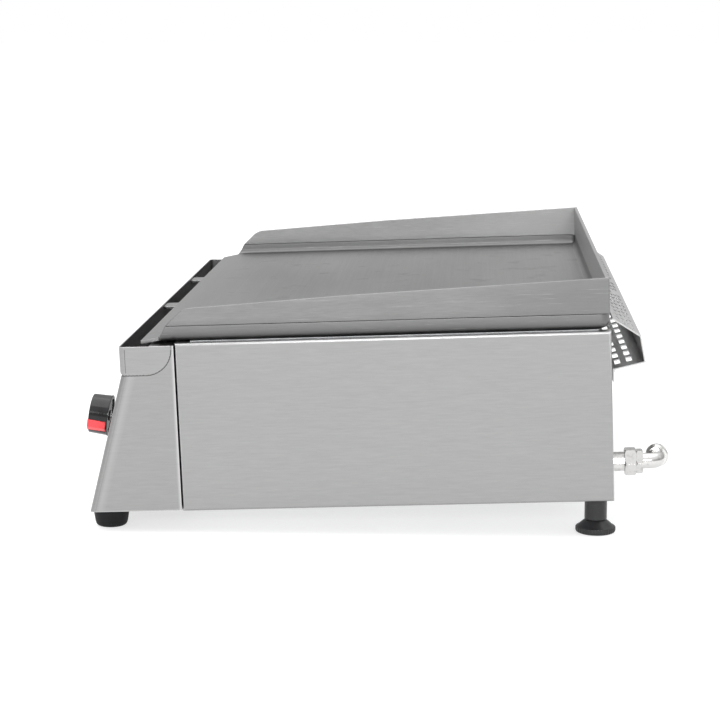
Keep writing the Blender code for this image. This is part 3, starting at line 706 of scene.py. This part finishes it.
class GriddleFinishes(PropertyGroup):
    steel: FloatProperty(
        name="Panel steel", description="How light the steel of the panels is",
        default=0.315, min=0.1, max=0.9, subtype="FACTOR")
    pan: FloatProperty(
        name="Pan sides", description="How light the sides of the pan and the splashes are",
        default=0.223, min=0.05, max=0.9, subtype="FACTOR")
    plate: FloatProperty(
        name="Cooking plate", description="How light the cooking plate is",
        default=0.24, min=0.05, max=0.9, subtype="FACTOR")
    knob: FloatVectorProperty(
        name="Knob", description="Colour of the knobs", subtype="COLOR", size=3,
        default=(0.008, 0.008, 0.009), min=0.0, max=1.0)
    pointer: FloatVectorProperty(
        name="Pointer", description="Colour of the pointers set in the knobs", subtype="COLOR", size=3,
        default=(0.78, 0.035, 0.045), min=0.0, max=1.0)


# ---- cooking surface ----------------------------------------------------------------------
class GRIDDLE_OT_pan(Operator):
    """The plate, its upturned rims and the apron that falls into the trough: one folded sheet"""
    bl_idname = "griddle.pan"
    bl_label = "Pan"

    def execute(self, context):
        floor = PLATE_TOP - PLATE
        bench = box("pan_sheet", (-PAN_HALF, PAN_FRONT, floor), (PAN_HALF, PAN_BACK, PAN_RIM))
        bench.pick("FACE", looks((0, 0, 1), (0, -1, 0))).remove()
        bench.pick("VERT", lies(y=PAN_FRONT, z=PAN_RIM)).move((0.0, RIM_FRONT - PAN_FRONT, 0.0))
        bench.pick("EDGE", lambda edge: len(edge.link_faces) == 2).bevel(PAN_RADIUS, 7)
        bench.pick("EDGE", lies(y=PAN_FRONT, z=floor))
        bench.extrude((0.0, APRON_TIP[0] - PAN_FRONT, APRON_TIP[1] - PLATE - floor))
        bench.wall(PLATE, (0, 0, -1)).soften(0.0006, 2, 50).place()
        bench.hand_over("plate", "housing", "plate", "griddle_pan")
        to_housing = HOUSING.inverted()

        def rises(face):
            """The outer part of the pan, except where it lies nearly level."""
            middle = to_housing @ face.center
            outside = abs(middle.x) > PAN_HALF - PLATE - PAN_RADIUS * 0.6 or middle.y > PAN_BACK - PAN_RADIUS
            return outside and abs(face.normal.z) < 0.9428

        bench.paint("splash_sheet", rises)
        return {"FINISHED"}


class GRIDDLE_OT_splashes(Operator):
    """The upright sheets welded on the rims of the pan"""
    bl_idname = "griddle.splashes"
    bl_label = "Splashes"

    def execute(self, context):
        thick = context.scene.griddle_sizes.splash_thickness
        low = PAN_RIM + GAP
        corners = ((RIM_FRONT, low),) + SPLASH_TOP
        for side, sign in SIDES:
            left, right = sorted((sign * (PAN_HALF - thick), sign * PAN_HALF))
            bench = box("splash_" + side, (left, RIM_FRONT, low), (right, PAN_BACK, SPLASH_TOP[-1][1]))
            for (y, z), (further, higher) in zip(corners, corners[1:]):
                bench.slice((0.0, y, z), (0.0, z - higher, further - y))
            bench.pick("EDGE", lies(y=SPLASH_TOP[0][0], z=SPLASH_TOP[0][1])).bevel(SPLASH_CORNER, 6)
            bench.soften(0.0006).place()
            bench.hand_over("splash_sheet", "housing", "plate", "side_splash_" + side)
            # painted light: the inner faces get the lighter copy of the splash finish
            bench.paint("splash_inside", lambda face: abs(face.center.x) < PAN_HALF - thick * 0.4)
        inner = PAN_HALF - thick - GAP
        bench = box("splash_rear", (-inner, PAN_BACK - thick, low), (inner, PAN_BACK, SPLASH_TOP[-1][1]))
        bench.soften(0.0007).place()
        # the rear splash shows only its inner face and gets the lighter, painted-light copy
        bench.hand_over("splash_inside", "housing", "plate", "rear_splash")
        return {"FINISHED"}


# ---- housing ------------------------------------------------------------------------------
class GRIDDLE_OT_side_panels(Operator):
    """Shallow trays: an outer face and a flange folded in along all four edges"""
    bl_idname = "griddle.side_panels"
    bl_label = "Side panels"

    def execute(self, context):
        for side, sign in SIDES:
            low, high = sorted((sign * HALF_WIDTH, sign * (HALF_WIDTH - FLANGE)))
            bench = box("side_sheet_" + side, (low, SIDE_FRONT, 0.0), (high, SIDE_BACK, PANEL_TOP))
            bench.pick("FACE", looks((-sign, 0, 0))).remove()
            bench.pick("EDGE", lies(x=sign * HALF_WIDTH))
            bench.bevel(context.scene.griddle_sizes.fold_radius, 6)
            bench.wall(SHEET, (sign, 0, 0)).place()
            bench.hand_over("side_sheet", "housing", "steel", "side_panel_" + side)
        return {"FINISHED"}


class GRIDDLE_OT_front_panel(Operator):
    """The sloping front panel with its cheeks, floor and back flange, folded from one sheet"""
    bl_idname = "griddle.front_panel"
    bl_label = "Front panel"

    def execute(self, context):
        rim = TROUGH_RADIUS + 0.0004
        outline = [TOE, (CHEEK_BACK, TOE[1]), (CHEEK_BACK, TROUGH_TOP), (TROUGH_MIDDLE[0] + rim, TROUGH_TOP),
                   *arc(TROUGH_MIDDLE, rim, 0, -90, 10), BROW]
        bench = slab("front_sheet", outline, -HALF_WIDTH, 2 * HALF_WIDTH)
        bench.sound().enter()
        out = (0.0, -math.cos(PANEL_LEAN), math.sin(PANEL_LEAN))
        keep = looks(out, (0, 0, -1), (1, 0, 0), (-1, 0, 0), (0, 1, 0))
        bench.pick("FACE", lambda face: not keep(face)).remove()
        bench.pick("FACE", looks((0, 1, 0))).inset(FLANGE)
        bench.remove()
        slope = BROW[1] - TOE[1]
        bench.pick("EDGE", lambda edge: all(abs(abs(vert.co.x) - HALF_WIDTH) < SAME for vert in edge.verts)
                   and abs(abs(edge.verts[0].co.z - edge.verts[1].co.z) - slope) < SAME)
        bench.bevel(context.scene.griddle_sizes.corner_radius, 8)
        bench.wall(SHEET, out)
        wide, high = DRAWER_OPENING
        to_housing = HOUSING.inverted()
        tool = box("mouth", (-wide / 2, -high / 2, -0.008), (wide / 2, high / 2, 0.008))
        bench.carve(tool.seat(to_housing @ on_panel(0.0, DRAWER_MIDDLE)))
        holes = [(sign * KNOB_X, KNOB_Z, SPINDLE_HOLE) for side, sign in SIDES]
        for x, z, radius in holes + [(IGNITER_X, IGNITER_Z, IGNITER_HOLE)]:
            tool = Bench("hole", "cylinder", vertices=32, radius=radius, depth=0.02)
            bench.carve(tool.seat(to_housing @ on_panel(x, z)))
        bench.place()
        bench.hand_over("front_sheet", "housing", "steel", "front_panel")
        bench.paint("cheek_sheet", lambda face: abs(face.normal.x) > 0.4)
        return {"FINISHED"}


class GRIDDLE_OT_trough(Operator):
    """The grease gutter along the front, its welded ends, the straps under its ledge and its spout"""
    bl_idname = "griddle.trough"
    bl_label = "Grease trough"

    def execute(self, context):
        sizes = context.scene.griddle_sizes
        outline = [(TROUGH_MOUTH, TROUGH_TOP), (TROUGH_FRONT, TROUGH_TOP), (TROUGH_FRONT, TROUGH_BOTTOM),
                   *arc(TROUGH_MIDDLE, TROUGH_RADIUS, -90, 0, 12), (TROUGH_BACK, TROUGH_TOP)]
        bench = slab("trough_sheet", outline, -HALF_WIDTH, 2 * HALF_WIDTH)
        bench.sound().enter()
        up = looks((0, 0, 1))
        bench.pick("FACE", lambda face: up(face) and face.calc_center_median().y < TROUGH_MOUTH).remove()
        front = lies(y=TROUGH_FRONT)
        bench.pick("EDGE", lambda edge: front(edge) and all(
            abs(abs(vert.co.x) - HALF_WIDTH) < SAME for vert in edge.verts))
        bench.bevel(sizes.corner_radius, 8)
        bench.wall(SHEET, (0, -1, 0))
        bench.carve(Bench("drain", "cylinder", vertices=32, radius=SPOUT_BORE, depth=0.02,
                          at=(0.0, DRAIN_Y, TROUGH_BOTTOM)))
        bench.soften(0.0004, 2, 55).place()
        bench.hand_over("trough_sheet", "housing", "steel", "grease_trough")
        for side, sign in SIDES:
            self.strap(side)
            self.weld(side, sign, sizes.weld_bead)
        top = TROUGH_BOTTOM - GAP
        pipe = [(SPOUT_BORE, top), (SPOUT_FLANGE, top), (SPOUT_FLANGE, top - 0.003),
                (SPOUT_RADIUS, top - 0.003), (SPOUT_RADIUS, SPOUT_FOOT), (SPOUT_BORE, SPOUT_FOOT),
                (SPOUT_BORE, top)]
        spun("spout_pipe", pipe).soften(0.0003, 2).place(seat_at((0.0, DRAIN_Y, 0.0))).hand_over(
            "trough_sheet", "housing", "steel", "trough_spout")
        return {"FINISHED"}

    def strap(self, side):
        """A flat strap under the ledge, with rounded corners."""
        low = STRAP_X[side] - STRAP_WIDTH / 2
        near, far = TROUGH_FRONT + SHEET + GAP, TROUGH_MOUTH + 0.018
        high = TROUGH_TOP - SHEET - GAP
        bench = box("strap_" + side, (low, near, STRAP_LOW), (low + STRAP_WIDTH, far, high))
        bench.pick("EDGE", upright).bevel(0.003, 4)
        bench.soften(0.0005, 2).place()
        bench.hand_over("trough_sheet", "housing", "steel", "trough_strap_" + side)

    def weld(self, side, sign, thickness):
        """Two uneven beads on the end of the gutter: a weld round its foot and back, and a dark bead up its
        front corner that paints the shade of its crease.
        """
        run = [(TROUGH_FRONT + 0.003 + 0.0011 * step, TROUGH_BOTTOM + 0.0002) for step in range(22)]
        run += arc(TROUGH_MIDDLE, TROUGH_RADIUS - 0.0002, -88, -2, 34)
        inset = sign * (HALF_WIDTH - thickness * 0.62)
        points = [
            (inset + sign * 0.00012 * math.sin(index * 2.3), y + 0.00016 * math.sin(index * 3.7),
             z + 0.00022 * math.sin(index * 1.9 + sign))
            for index, (y, z) in enumerate(run)
        ]
        rod("weld_" + side, points, thickness * 0.8, 3).place().hand_over("weld", "housing", "steel")
        # painted shade: a dark bead along the bend line of the front corner, standing for the shade of the
        # crease
        corner = [
            (sign * (HALF_WIDTH - thickness * 0.42), TROUGH_FRONT + 0.0066 + 0.00008 * math.sin(step * 2.1),
             TROUGH_BOTTOM + 0.003 + 0.0013 * step)
            for step in range(20)
        ]
        rod("corner_weld_" + side, corner, thickness * 0.5, 3).place().hand_over(
            "weld", "housing", "steel")


class GRIDDLE_OT_flue(Operator):
    """The bent, perforated cover over the exhaust, open at both ends, and its three screws"""
    bl_idname = "griddle.flue"
    bl_label = "Flue cover"

    def execute(self, context):
        columns = context.scene.griddle_sizes.flue_slots
        corners = [Vector((0.0, y, z)) for y, z in FLUE_PROFILE]
        fall = (corners[1] - corners[0]).normalized()
        high, low = corners[0] + fall * FLUE_MARGIN, corners[1] - fall * FLUE_MARGIN
        bench = Bench(
            "flue_sheet", "grid", scale=(2 * FLUE_HALF, (low - high).length, 1.0), at=(high + low) / 2,
            turn=(math.degrees(math.atan2(fall.z, fall.y)), 0.0, 0.0),
            x_subdivisions=columns, y_subdivisions=FLUE_ROWS)
        pitch = 2 * FLUE_HALF / columns

        def is_open(face):
            middle = face.calc_center_median()
            column = int((middle.x + FLUE_HALF) / pitch)
            row = int((middle.y - high.y) / (low.y - high.y) * FLUE_ROWS)
            in_field = any(first <= column / columns < last for first, last in FLUE_FIELDS)
            return (column + row) % 2 == 0 and in_field

        bench.pick("FACE", is_open).inset(pitch * 0.05, each=True).remove()
        for start, run in ((high, corners[:1]), (low, corners[1:])):
            bench.pick("EDGE", lies(y=start.y, z=start.z))
            for there in run:
                bench.extrude(there - start)
                start = there
        bench.wall(SHEET, (0.0, -fall.z, fall.y))
        tool = box("hole", VENT_LOW, VENT_HIGH).leave()
        for count, step in ((VENT_COUNT, (VENT_PITCH, 0.0, 0.0)), (2, (0.0, VENT_ROW, 0.0))):
            tool.apply("ARRAY", count=count, use_relative_offset=False, use_constant_offset=True,
                       constant_offset_displace=step)
        tool.enter().pick_all().move((-(VENT_COUNT // 2) * VENT_PITCH, 0.0, 0.0)).leave()
        bench.carve(tool).place()
        bench.hand_over("flue_sheet", "housing", "steel", "flue_cover")
        for number, x in enumerate(FLUE_SCREWS, start=1):
            self.screw(number, x)
        return {"FINISHED"}

    def screw(self, number, x):
        """A pan-head screw on its washer, with a cross recess."""
        head = [(0.0, 0.0028), (0.0018, 0.0027), (0.0030, 0.0022), (0.0034, 0.0012), (0.0034, 0.0006),
                (0.0042, 0.0006), (0.0042, 0.0), (0.0, 0.0)]
        bench = spun(f"screw_{number}", head, 32)
        for turn in (0, 90):
            wide, narrow = (0.0019, 0.0004) if turn else (0.0004, 0.0019)
            bench.carve(box("recess", (-wide, -narrow, 0.0014), (wide, narrow, 0.0040)))
        bench.place(seat_at((x, FLUE_PROFILE[-1][0] + GAP + SHEET, FLUE_SCREW_Z), -90))
        bench.hand_over("polished", "housing", "chrome", f"flue_screw_{number}")


# ---- controls -----------------------------------------------------------------------------
class GRIDDLE_OT_knobs(Operator):
    """The round knobs, the ridged pointers set in them and the bezels behind them"""
    bl_idname = "griddle.knobs"
    bl_label = "Knobs"

    def execute(self, context):
        radius = context.scene.griddle_sizes.knob_radius
        for side, sign in SIDES:
            body = "knob_cap_" + side
            seat = on_panel(sign * KNOB_X, KNOB_Z, POINTER_ANGLE, TAP_TILT)
            self.cap(side, radius, seat).hand_over("gloss_black", body, "knob", "knob_" + side)
            self.pointer(side, radius, seat).hand_over(
                "pointer_red", body, "pointer", "knob_pointer_" + side)
            ring = [(0.0048, 0.0030), (0.0174, 0.0030), (0.0181, 0.0026), (0.0188, 0.0014), (0.0195, 0.0008),
                    (0.0195, GAP), (0.0048, GAP), (0.0048, 0.0030)]
            bezel = spun("bezel_" + side, ring, 56).soften(0.0003, 2)
            bezel.place(on_panel(sign * KNOB_X, KNOB_Z))
            bezel.hand_over("gloss_black", "housing", "knob", "knob_bezel_" + side)
        return {"FINISHED"}

    def cap(self, side, radius, seat):
        """The moulded cap: a smooth side, a thin skirt at its back, a blind bore and a pointer slot."""
        bore = SPINDLE_RADIUS + 0.0002
        depth = SPINDLE_END + KNOB_PUSH + 0.0005
        side_wall = radius - 0.0005
        profile = [(0.0, KNOB_FACE - 0.0004), (radius - 0.0052, KNOB_FACE - 0.0004),
                   (radius - 0.0047, KNOB_FACE),
                   *arc((side_wall - 0.0019, KNOB_FACE - 0.0012), 0.0012, 90, 0, 6)]
        profile += [(side_wall, KNOB_BACK + 0.0016), (side_wall + 0.0004, KNOB_BACK + 0.0010),
                    (side_wall + 0.0004, KNOB_BACK + 0.0004), (side_wall, KNOB_BACK),
                    (radius - 0.0040, KNOB_BACK), (radius - 0.0042, KNOB_BACK + 0.0012),
                    (bore + 0.0026, KNOB_BACK + 0.0012), (bore + 0.0026, KNOB_BACK), (bore, KNOB_BACK),
                    (bore, depth), (0.0, depth)]
        bench = spun("cap_" + side, profile, 96)
        half = POINTER_WIDTH / 2 + GAP
        floor = radius - POINTER_DEPTH - GAP
        tool = box("slot", (floor, -half, POINTER_BACK - GAP), (0.04, half, KNOB_FACE + 0.01))
        return bench.carve(tool).place(seat)

    def pointer(self, side, radius, seat):
        """A bar with two facets that meet in a ridge, let into the side of the knob."""
        half = POINTER_WIDTH / 2
        inner, crest = radius - POINTER_DEPTH, radius + POINTER_PROUD
        outline = [(inner, -half), (crest - 0.0036, -half), (crest - 0.0026, -half + 0.0006),
                   (crest, -0.0004), (crest, 0.0004), (crest - 0.0026, half - 0.0006),
                   (crest - 0.0036, half), (inner, half)]
        bench = slab("pointer_" + side, outline, POINTER_BACK, KNOB_FACE + 0.0004 - POINTER_BACK, "z")
        return bench.soften(0.0003, 3, 35).place(seat)


class GRIDDLE_OT_igniter(Operator):
    """The igniter's threaded collar and its push button"""
    bl_idname = "griddle.igniter"
    bl_label = "Igniter"

    def execute(self, context):
        seat = on_panel(IGNITER_X, IGNITER_Z)
        bore, thread = IGNITER_BORE, IGNITER_THREAD
        barrel = [(bore, 0.0030), (0.0092, 0.0030), (0.0104, 0.0024), (0.0110, 0.0014), (0.0110, GAP),
                  (thread, GAP)]
        barrel += [(thread - 0.0004 * (step % 2), -0.001 - 0.0005 * step) for step in range(20)]
        barrel += [(0.0080, -0.028), (0.0, -0.028), (0.0, -0.0065), (bore, -0.0065), (bore, 0.0030)]
        spun("igniter_collar", barrel, 48).place(seat).hand_over(
            "polished", "housing", "chrome", "igniter_barrel")
        button = [(0.0, 0.0068), (0.0022, 0.0069), (0.0036, 0.0075), (0.0044, 0.0074), (0.0050, 0.0065),
                  (0.0050, -0.002), (0.0, -0.002)]
        spun("igniter_cap", button, 48).place(seat).hand_over(
            "gloss_black", "igniter_key", "knob", "igniter_button")
        return {"FINISHED"}


class GRIDDLE_OT_drawer(Operator):
    """The grease drawer's front plate, with rounded corners, and its wire handle"""
    bl_idname = "griddle.drawer"
    bl_label = "Grease drawer"

    def execute(self, context):
        seat = on_panel(0.0, DRAWER_MIDDLE)
        wide, high, thick = DRAWER_PLATE
        front = box("drawer_plate", (-wide / 2, -high / 2, GAP), (wide / 2, high / 2, GAP + thick))
        front.pick("EDGE", upright).bevel(0.004, 5)
        front.soften(0.0007, 3).place(seat)
        front.hand_over("front_sheet", "drawer", "steel", "drawer_front")
        foot = GAP + thick + GAP
        half = HANDLE_HALF
        grip = [(-half, 0.0, foot), (-half, 0.0, HANDLE_REACH), (half, 0.0, HANDLE_REACH), (half, 0.0, foot)]
        handle = rod("drawer_grip", bent(grip, 0.010, 10), HANDLE_RADIUS, 6).soften(0.0004, 2, 60)
        handle.place(seat).hand_over("polished", "drawer", "chrome", "drawer_handle")
        return {"FINISHED"}


# ---- gas inlet ----------------------------------------------------------------------------
class GRIDDLE_OT_inlet(Operator):
    """The union nut, the elbow and its collar at the back"""
    bl_idname = "griddle.inlet"
    bl_label = "Gas inlet"

    def execute(self, context):
        first, second, third = NUT_BACK
        wide, narrow = NUT_RADII
        back = seat_at((PIPE_X, first, PIPE_Z), -90)
        nut = self.hexagon("nut", wide, 0.0, second - first)
        nut.soften(0.0003, 2).place(back)
        nut.hand_over("nickel", "housing", "chrome", "union_nut")
        tail = self.hexagon("nut_tail", narrow, second - first, third - first)
        tail.soften(0.0003, 2).place(back)
        tail.hand_over("nickel", "housing", "chrome")
        collar_end = ELBOW_END_X + COLLAR_LENGTH
        corner = [(PIPE_X, third + GAP, PIPE_Z), (PIPE_X, ELBOW_Y, PIPE_Z), (collar_end, ELBOW_Y, PIPE_Z)]
        rod("elbow", bent(corner, ELBOW_BEND, 14), ELBOW_RADIUS, 8).soften(0.0005, 2, 60).place().hand_over(
            "nickel", "housing", "chrome", "inlet_elbow")
        rim, end = COLLAR_RADIUS, COLLAR_LENGTH
        collar = [(0.0, 0.0), (rim - 0.0012, 0.0), (rim, 0.0012), (rim, 0.0040), (rim - 0.0005, 0.0044),
                  (rim - 0.0005, 0.0052), (rim, 0.0056), (rim, end - 0.0012), (rim - 0.0012, end), (0.0, end)]
        seat = seat_at((collar_end - GAP, ELBOW_Y, PIPE_Z), -90, "Y")
        spun("elbow_collar", collar, 56).soften(0.0003, 2).place(seat).hand_over(
            "nickel", "housing", "chrome", "inlet_collar")
        return {"FINISHED"}

    def hexagon(self, name, radius, low, high):
        """Six flats whose corners are turned off to a cone at both ends."""
        six = Bench(name, "cylinder", vertices=6, radius=radius, depth=high - low,
                    at=(0.0, 0.0, (low + high) / 2), turn=(0.0, 0.0, 30.0))
        flat = radius * 0.90
        wide, cone = radius + 0.0003, 0.0018
        barrel = [(0.0, low), (flat, low), (wide, low + cone), (wide, high - cone), (flat, high), (0.0, high)]
        return six.carve(spun("barrel", barrel, 72), "INTERSECT")


# ---- feet ---------------------------------------------------------------------------------
class GRIDDLE_OT_feet(Operator):
    """Tapered rubber feet in front, and screw-out levelling feet in their legs behind"""
    bl_idname = "griddle.feet"
    bl_label = "Feet"

    def execute(self, context):
        for side in ("left", "right"):
            self.front(side)
            self.rear(side)
        return {"FINISHED"}

    def footing(self, node):
        """The spot on the counter under a node, and the node's box."""
        low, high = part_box(node)
        return Matrix.Translation(((low.x + high.x) / 2, (low.y + high.y) / 2, 0.0)), low, high

    def front(self, side):
        node = "front_foot_" + side
        seat, low, high = self.footing(node)
        top, wide = high.z, (high.x - low.x) / 2
        narrow = wide - 0.0033
        profile = [(0.0, top), (wide, top), (wide, top - 0.0010), (narrow + 0.0008, 0.0046)]
        profile += arc((narrow - 0.0040, 0.0045), 0.0045, 0, -90, 8)
        profile += [(0.0085, 0.0), (0.0080, 0.0012), (0.0, 0.0012)]
        spun("foot_front_" + side, profile, 64).place(seat).hand_over(
            "rubber", "housing", "rubber", node)

    def rear(self, side):
        """The leg stays with the housing; the cone and its knurled flange screw out of it."""
        node = "rear_leg_" + side
        seat, low, high = self.footing(node)
        wide, top, end = (high.x - low.x) / 2, high.z, low.z
        profile = [(0.0, top), (wide, top), (wide, end + 0.0008), (wide - 0.0006, end), (0.0064, end),
                   (0.0064, top - 0.002), (0.0, top - 0.002)]
        spun("leg_" + side, profile, 64).place(seat).hand_over(
            "foot_plastic", "housing", "rubber", node)
        node = "rear_foot_" + side
        seat, low, high = self.footing(node)
        rim, stud = (high.x - low.x) / 2, high.z
        neck = end - GAP
        profile = [(0.0, stud), (0.0054, stud), (0.0061, stud - 0.0008), (0.0061, neck),
                   (wide - 0.0006, neck), (wide, neck - 0.0006), (wide + 0.0010, 0.0124),
                   (0.0160, 0.0096), (0.0170, 0.0086), (rim - 0.0022, 0.0072), (rim - 0.0006, 0.0064), (rim, 0.0054), (rim, 0.0022),
                   (rim - 0.0008, 0.0008), (rim - 0.0024, 0.0), (0.0, 0.0)]
        steps = 144
        bench = spun("levelling_foot_" + side, profile, steps)
        bench.sound().enter()

        def in_groove(vert):
            if math.hypot(vert.co.x, vert.co.y) < rim - 0.0004:
                return False
            step = round(math.atan2(vert.co.y, vert.co.x) / math.tau * steps)
            return step % 4 in (0, 1)

        bench.pick("VERT", in_groove).resize((GROOVE, GROOVE, 1.0), (0.0, 0.0, 0.0))
        bench.place(seat).hand_over("foot_plastic", "rear_foot_" + side, "rubber", node)


# ---- what stays as it is ------------------------------------------------------------------
KEPT_NODES = {
    "zinc": ("pan_support_left", "pan_support_right", "base_plate", "burner_rest_front", "burner_rest_back",
             "gas_manifold", "drawer_bracket", "drawer_runner_left", "drawer_runner_right"),
    "rear_sheet": ("rear_panel", "drawer_tray"),
    "iron": ("burner_left", "burner_right", "venturi_left", "venturi_right"),
    "brass": ("jet_left", "jet_right", "valve_left", "valve_right"),
    "copper": ("thermocouple_left", "thermocouple_right", "gas_tube_left", "gas_tube_right"),
    "polished": ("spindle_left", "spindle_right"),
    "nickel": ("inlet_pipe",),
}


class GRIDDLE_OT_kept_nodes(Operator):
    """The pieces whose frame shape is already right: they get their finish"""
    bl_idname = "griddle.kept_nodes"
    bl_label = "Inner pieces"

    def execute(self, context):
        for finish, nodes in KEPT_NODES.items():
            for node in nodes:
                for slot in frame["nodes"][node].material_slots:
                    slot.material = finish_for(finish)
        return {"FINISHED"}


# ---- stage --------------------------------------------------------------------------------
class GRIDDLE_OT_stage(Operator):
    """A plain pale floor, soft studio light and the camera"""
    bl_idname = "griddle.stage"
    bl_label = "Stage"

    def execute(self, context):
        scene = context.scene
        scene.view_settings.view_transform = "Standard"
        floor = Bench("floor", "circle", vertices=96, radius=24.0, fill_type="NGON").leave().piece
        paper = Finish("paper")
        fibre = paper.noise(40.0, 3.0)
        floor.data.materials.append(paper.set(
            Base_Color=paper.blend(fibre, (0.46, 0.46, 0.46), (0.48, 0.48, 0.48)), Roughness=0.9,
            Emission_Color=(1.0, 1.0, 1.0), Emission_Strength=0.62))
        self.sky(scene)
        self.lamp("overhead", "AREA", (0.2, -0.3, 2.4), (0.0, 0.0, 0.0), 26.0, 2.4)
        self.lamp("window", "AREA", (3.4, 0.1, 1.16), (0.3, -0.1, 0.1), 40.0, 2.0, 0.5)
        self.lamp("fill", "SUN", (0.0, 0.0, 4.0), (0.3, 0.4, 0.0), 0.75, math.radians(80))
        camera = bpy.data.objects.new("camera", bpy.data.cameras.new("camera"))
        scene.collection.objects.link(camera)
        yaw, pitch = math.radians(CAMERA_YAW), math.radians(CAMERA_PITCH)
        forward = Vector((
            -math.cos(yaw) * math.cos(pitch), math.sin(yaw) * math.cos(pitch), -math.sin(pitch)))
        camera.location = CAMERA_PLACE
        camera.rotation_euler = forward.to_track_quat("-Z", "Y").to_euler()
        camera.data.lens = CAMERA_LENS
        camera.data.sensor_width = 36.0
        camera.data.clip_end = 60.0
        scene.camera = camera
        return {"FINISHED"}

    def lamp(self, name, kind, place, towards, power, size, height=None):
        light = bpy.data.lights.new(name, kind)
        light.energy = power
        if kind == "AREA":
            light.shape = "RECTANGLE"
            light.size, light.size_y = size, height or size
        else:
            light.angle = size
        lamp = bpy.data.objects.new(name, light)
        lamp.location = place
        lamp.rotation_euler = (Vector(towards) - Vector(place)).to_track_quat("-Z", "Y").to_euler()
        bpy.context.scene.collection.objects.link(lamp)

    def sky(self, scene):
        """White round the horizon, a duller band above it and a bright ceiling."""
        world = bpy.data.worlds.new("studio")
        scene.world = world
        world.use_nodes = True
        tree = world.node_tree
        place = tree.nodes.new("ShaderNodeTexCoord")
        parts = tree.nodes.new("ShaderNodeSeparateXYZ")
        ramp = tree.nodes.new("ShaderNodeValToRGB")
        tree.links.new(place.outputs["Generated"], parts.inputs[0])
        tree.links.new(parts.outputs["Z"], ramp.inputs["Fac"])
        stops = ((0.0, 1.0), (0.03, 1.0), (0.07, 0.55), (0.30, 0.60), (0.62, 1.15))
        for index, (height, level) in enumerate(stops):
            stop = ramp.color_ramp.elements[index] if index < 2 else ramp.color_ramp.elements.new(height)
            stop.position = height
            stop.color = (level, level, level, 1.0)
        background = tree.nodes["Background"]
        tree.links.new(ramp.outputs["Color"], background.inputs["Color"])
        background.inputs["Strength"].default_value = 1.0


OPERATORS = (
    GRIDDLE_OT_pan, GRIDDLE_OT_splashes, GRIDDLE_OT_side_panels, GRIDDLE_OT_front_panel, GRIDDLE_OT_trough,
    GRIDDLE_OT_flue, GRIDDLE_OT_knobs, GRIDDLE_OT_igniter, GRIDDLE_OT_drawer, GRIDDLE_OT_inlet,
    GRIDDLE_OT_feet, GRIDDLE_OT_kept_nodes, GRIDDLE_OT_stage,
)


class GRIDDLE_PT_panel(Panel):
    """Everything that the griddle is built from"""
    bl_idname = "GRIDDLE_PT_panel"
    bl_label = "Flat top griddle"
    bl_space_type = "VIEW_3D"
    bl_region_type = "UI"
    bl_category = "Griddle"

    def draw(self, context):
        for group in (context.scene.griddle_sizes, context.scene.griddle_finishes):
            column = self.layout.column(align=True)
            for name in group.__annotations__:
                column.prop(group, name)
        column = self.layout.column(align=True)
        for operator in OPERATORS:
            column.operator(operator.bl_idname)


CLASSES = (GriddleSizes, GriddleFinishes) + OPERATORS + (GRIDDLE_PT_panel,)


def register():
    for cls in CLASSES:
        bpy.utils.register_class(cls)
    bpy.types.Scene.griddle_sizes = PointerProperty(type=GriddleSizes)
    bpy.types.Scene.griddle_finishes = PointerProperty(type=GriddleFinishes)


def unregister():
    del bpy.types.Scene.griddle_sizes
    del bpy.types.Scene.griddle_finishes
    for cls in reversed(CLASSES):
        bpy.utils.unregister_class(cls)


def main():
    register()
    for operator in OPERATORS:
        getattr(bpy.ops.griddle, operator.bl_idname.partition(".")[2])()


if __name__ == "__main__":
    main()
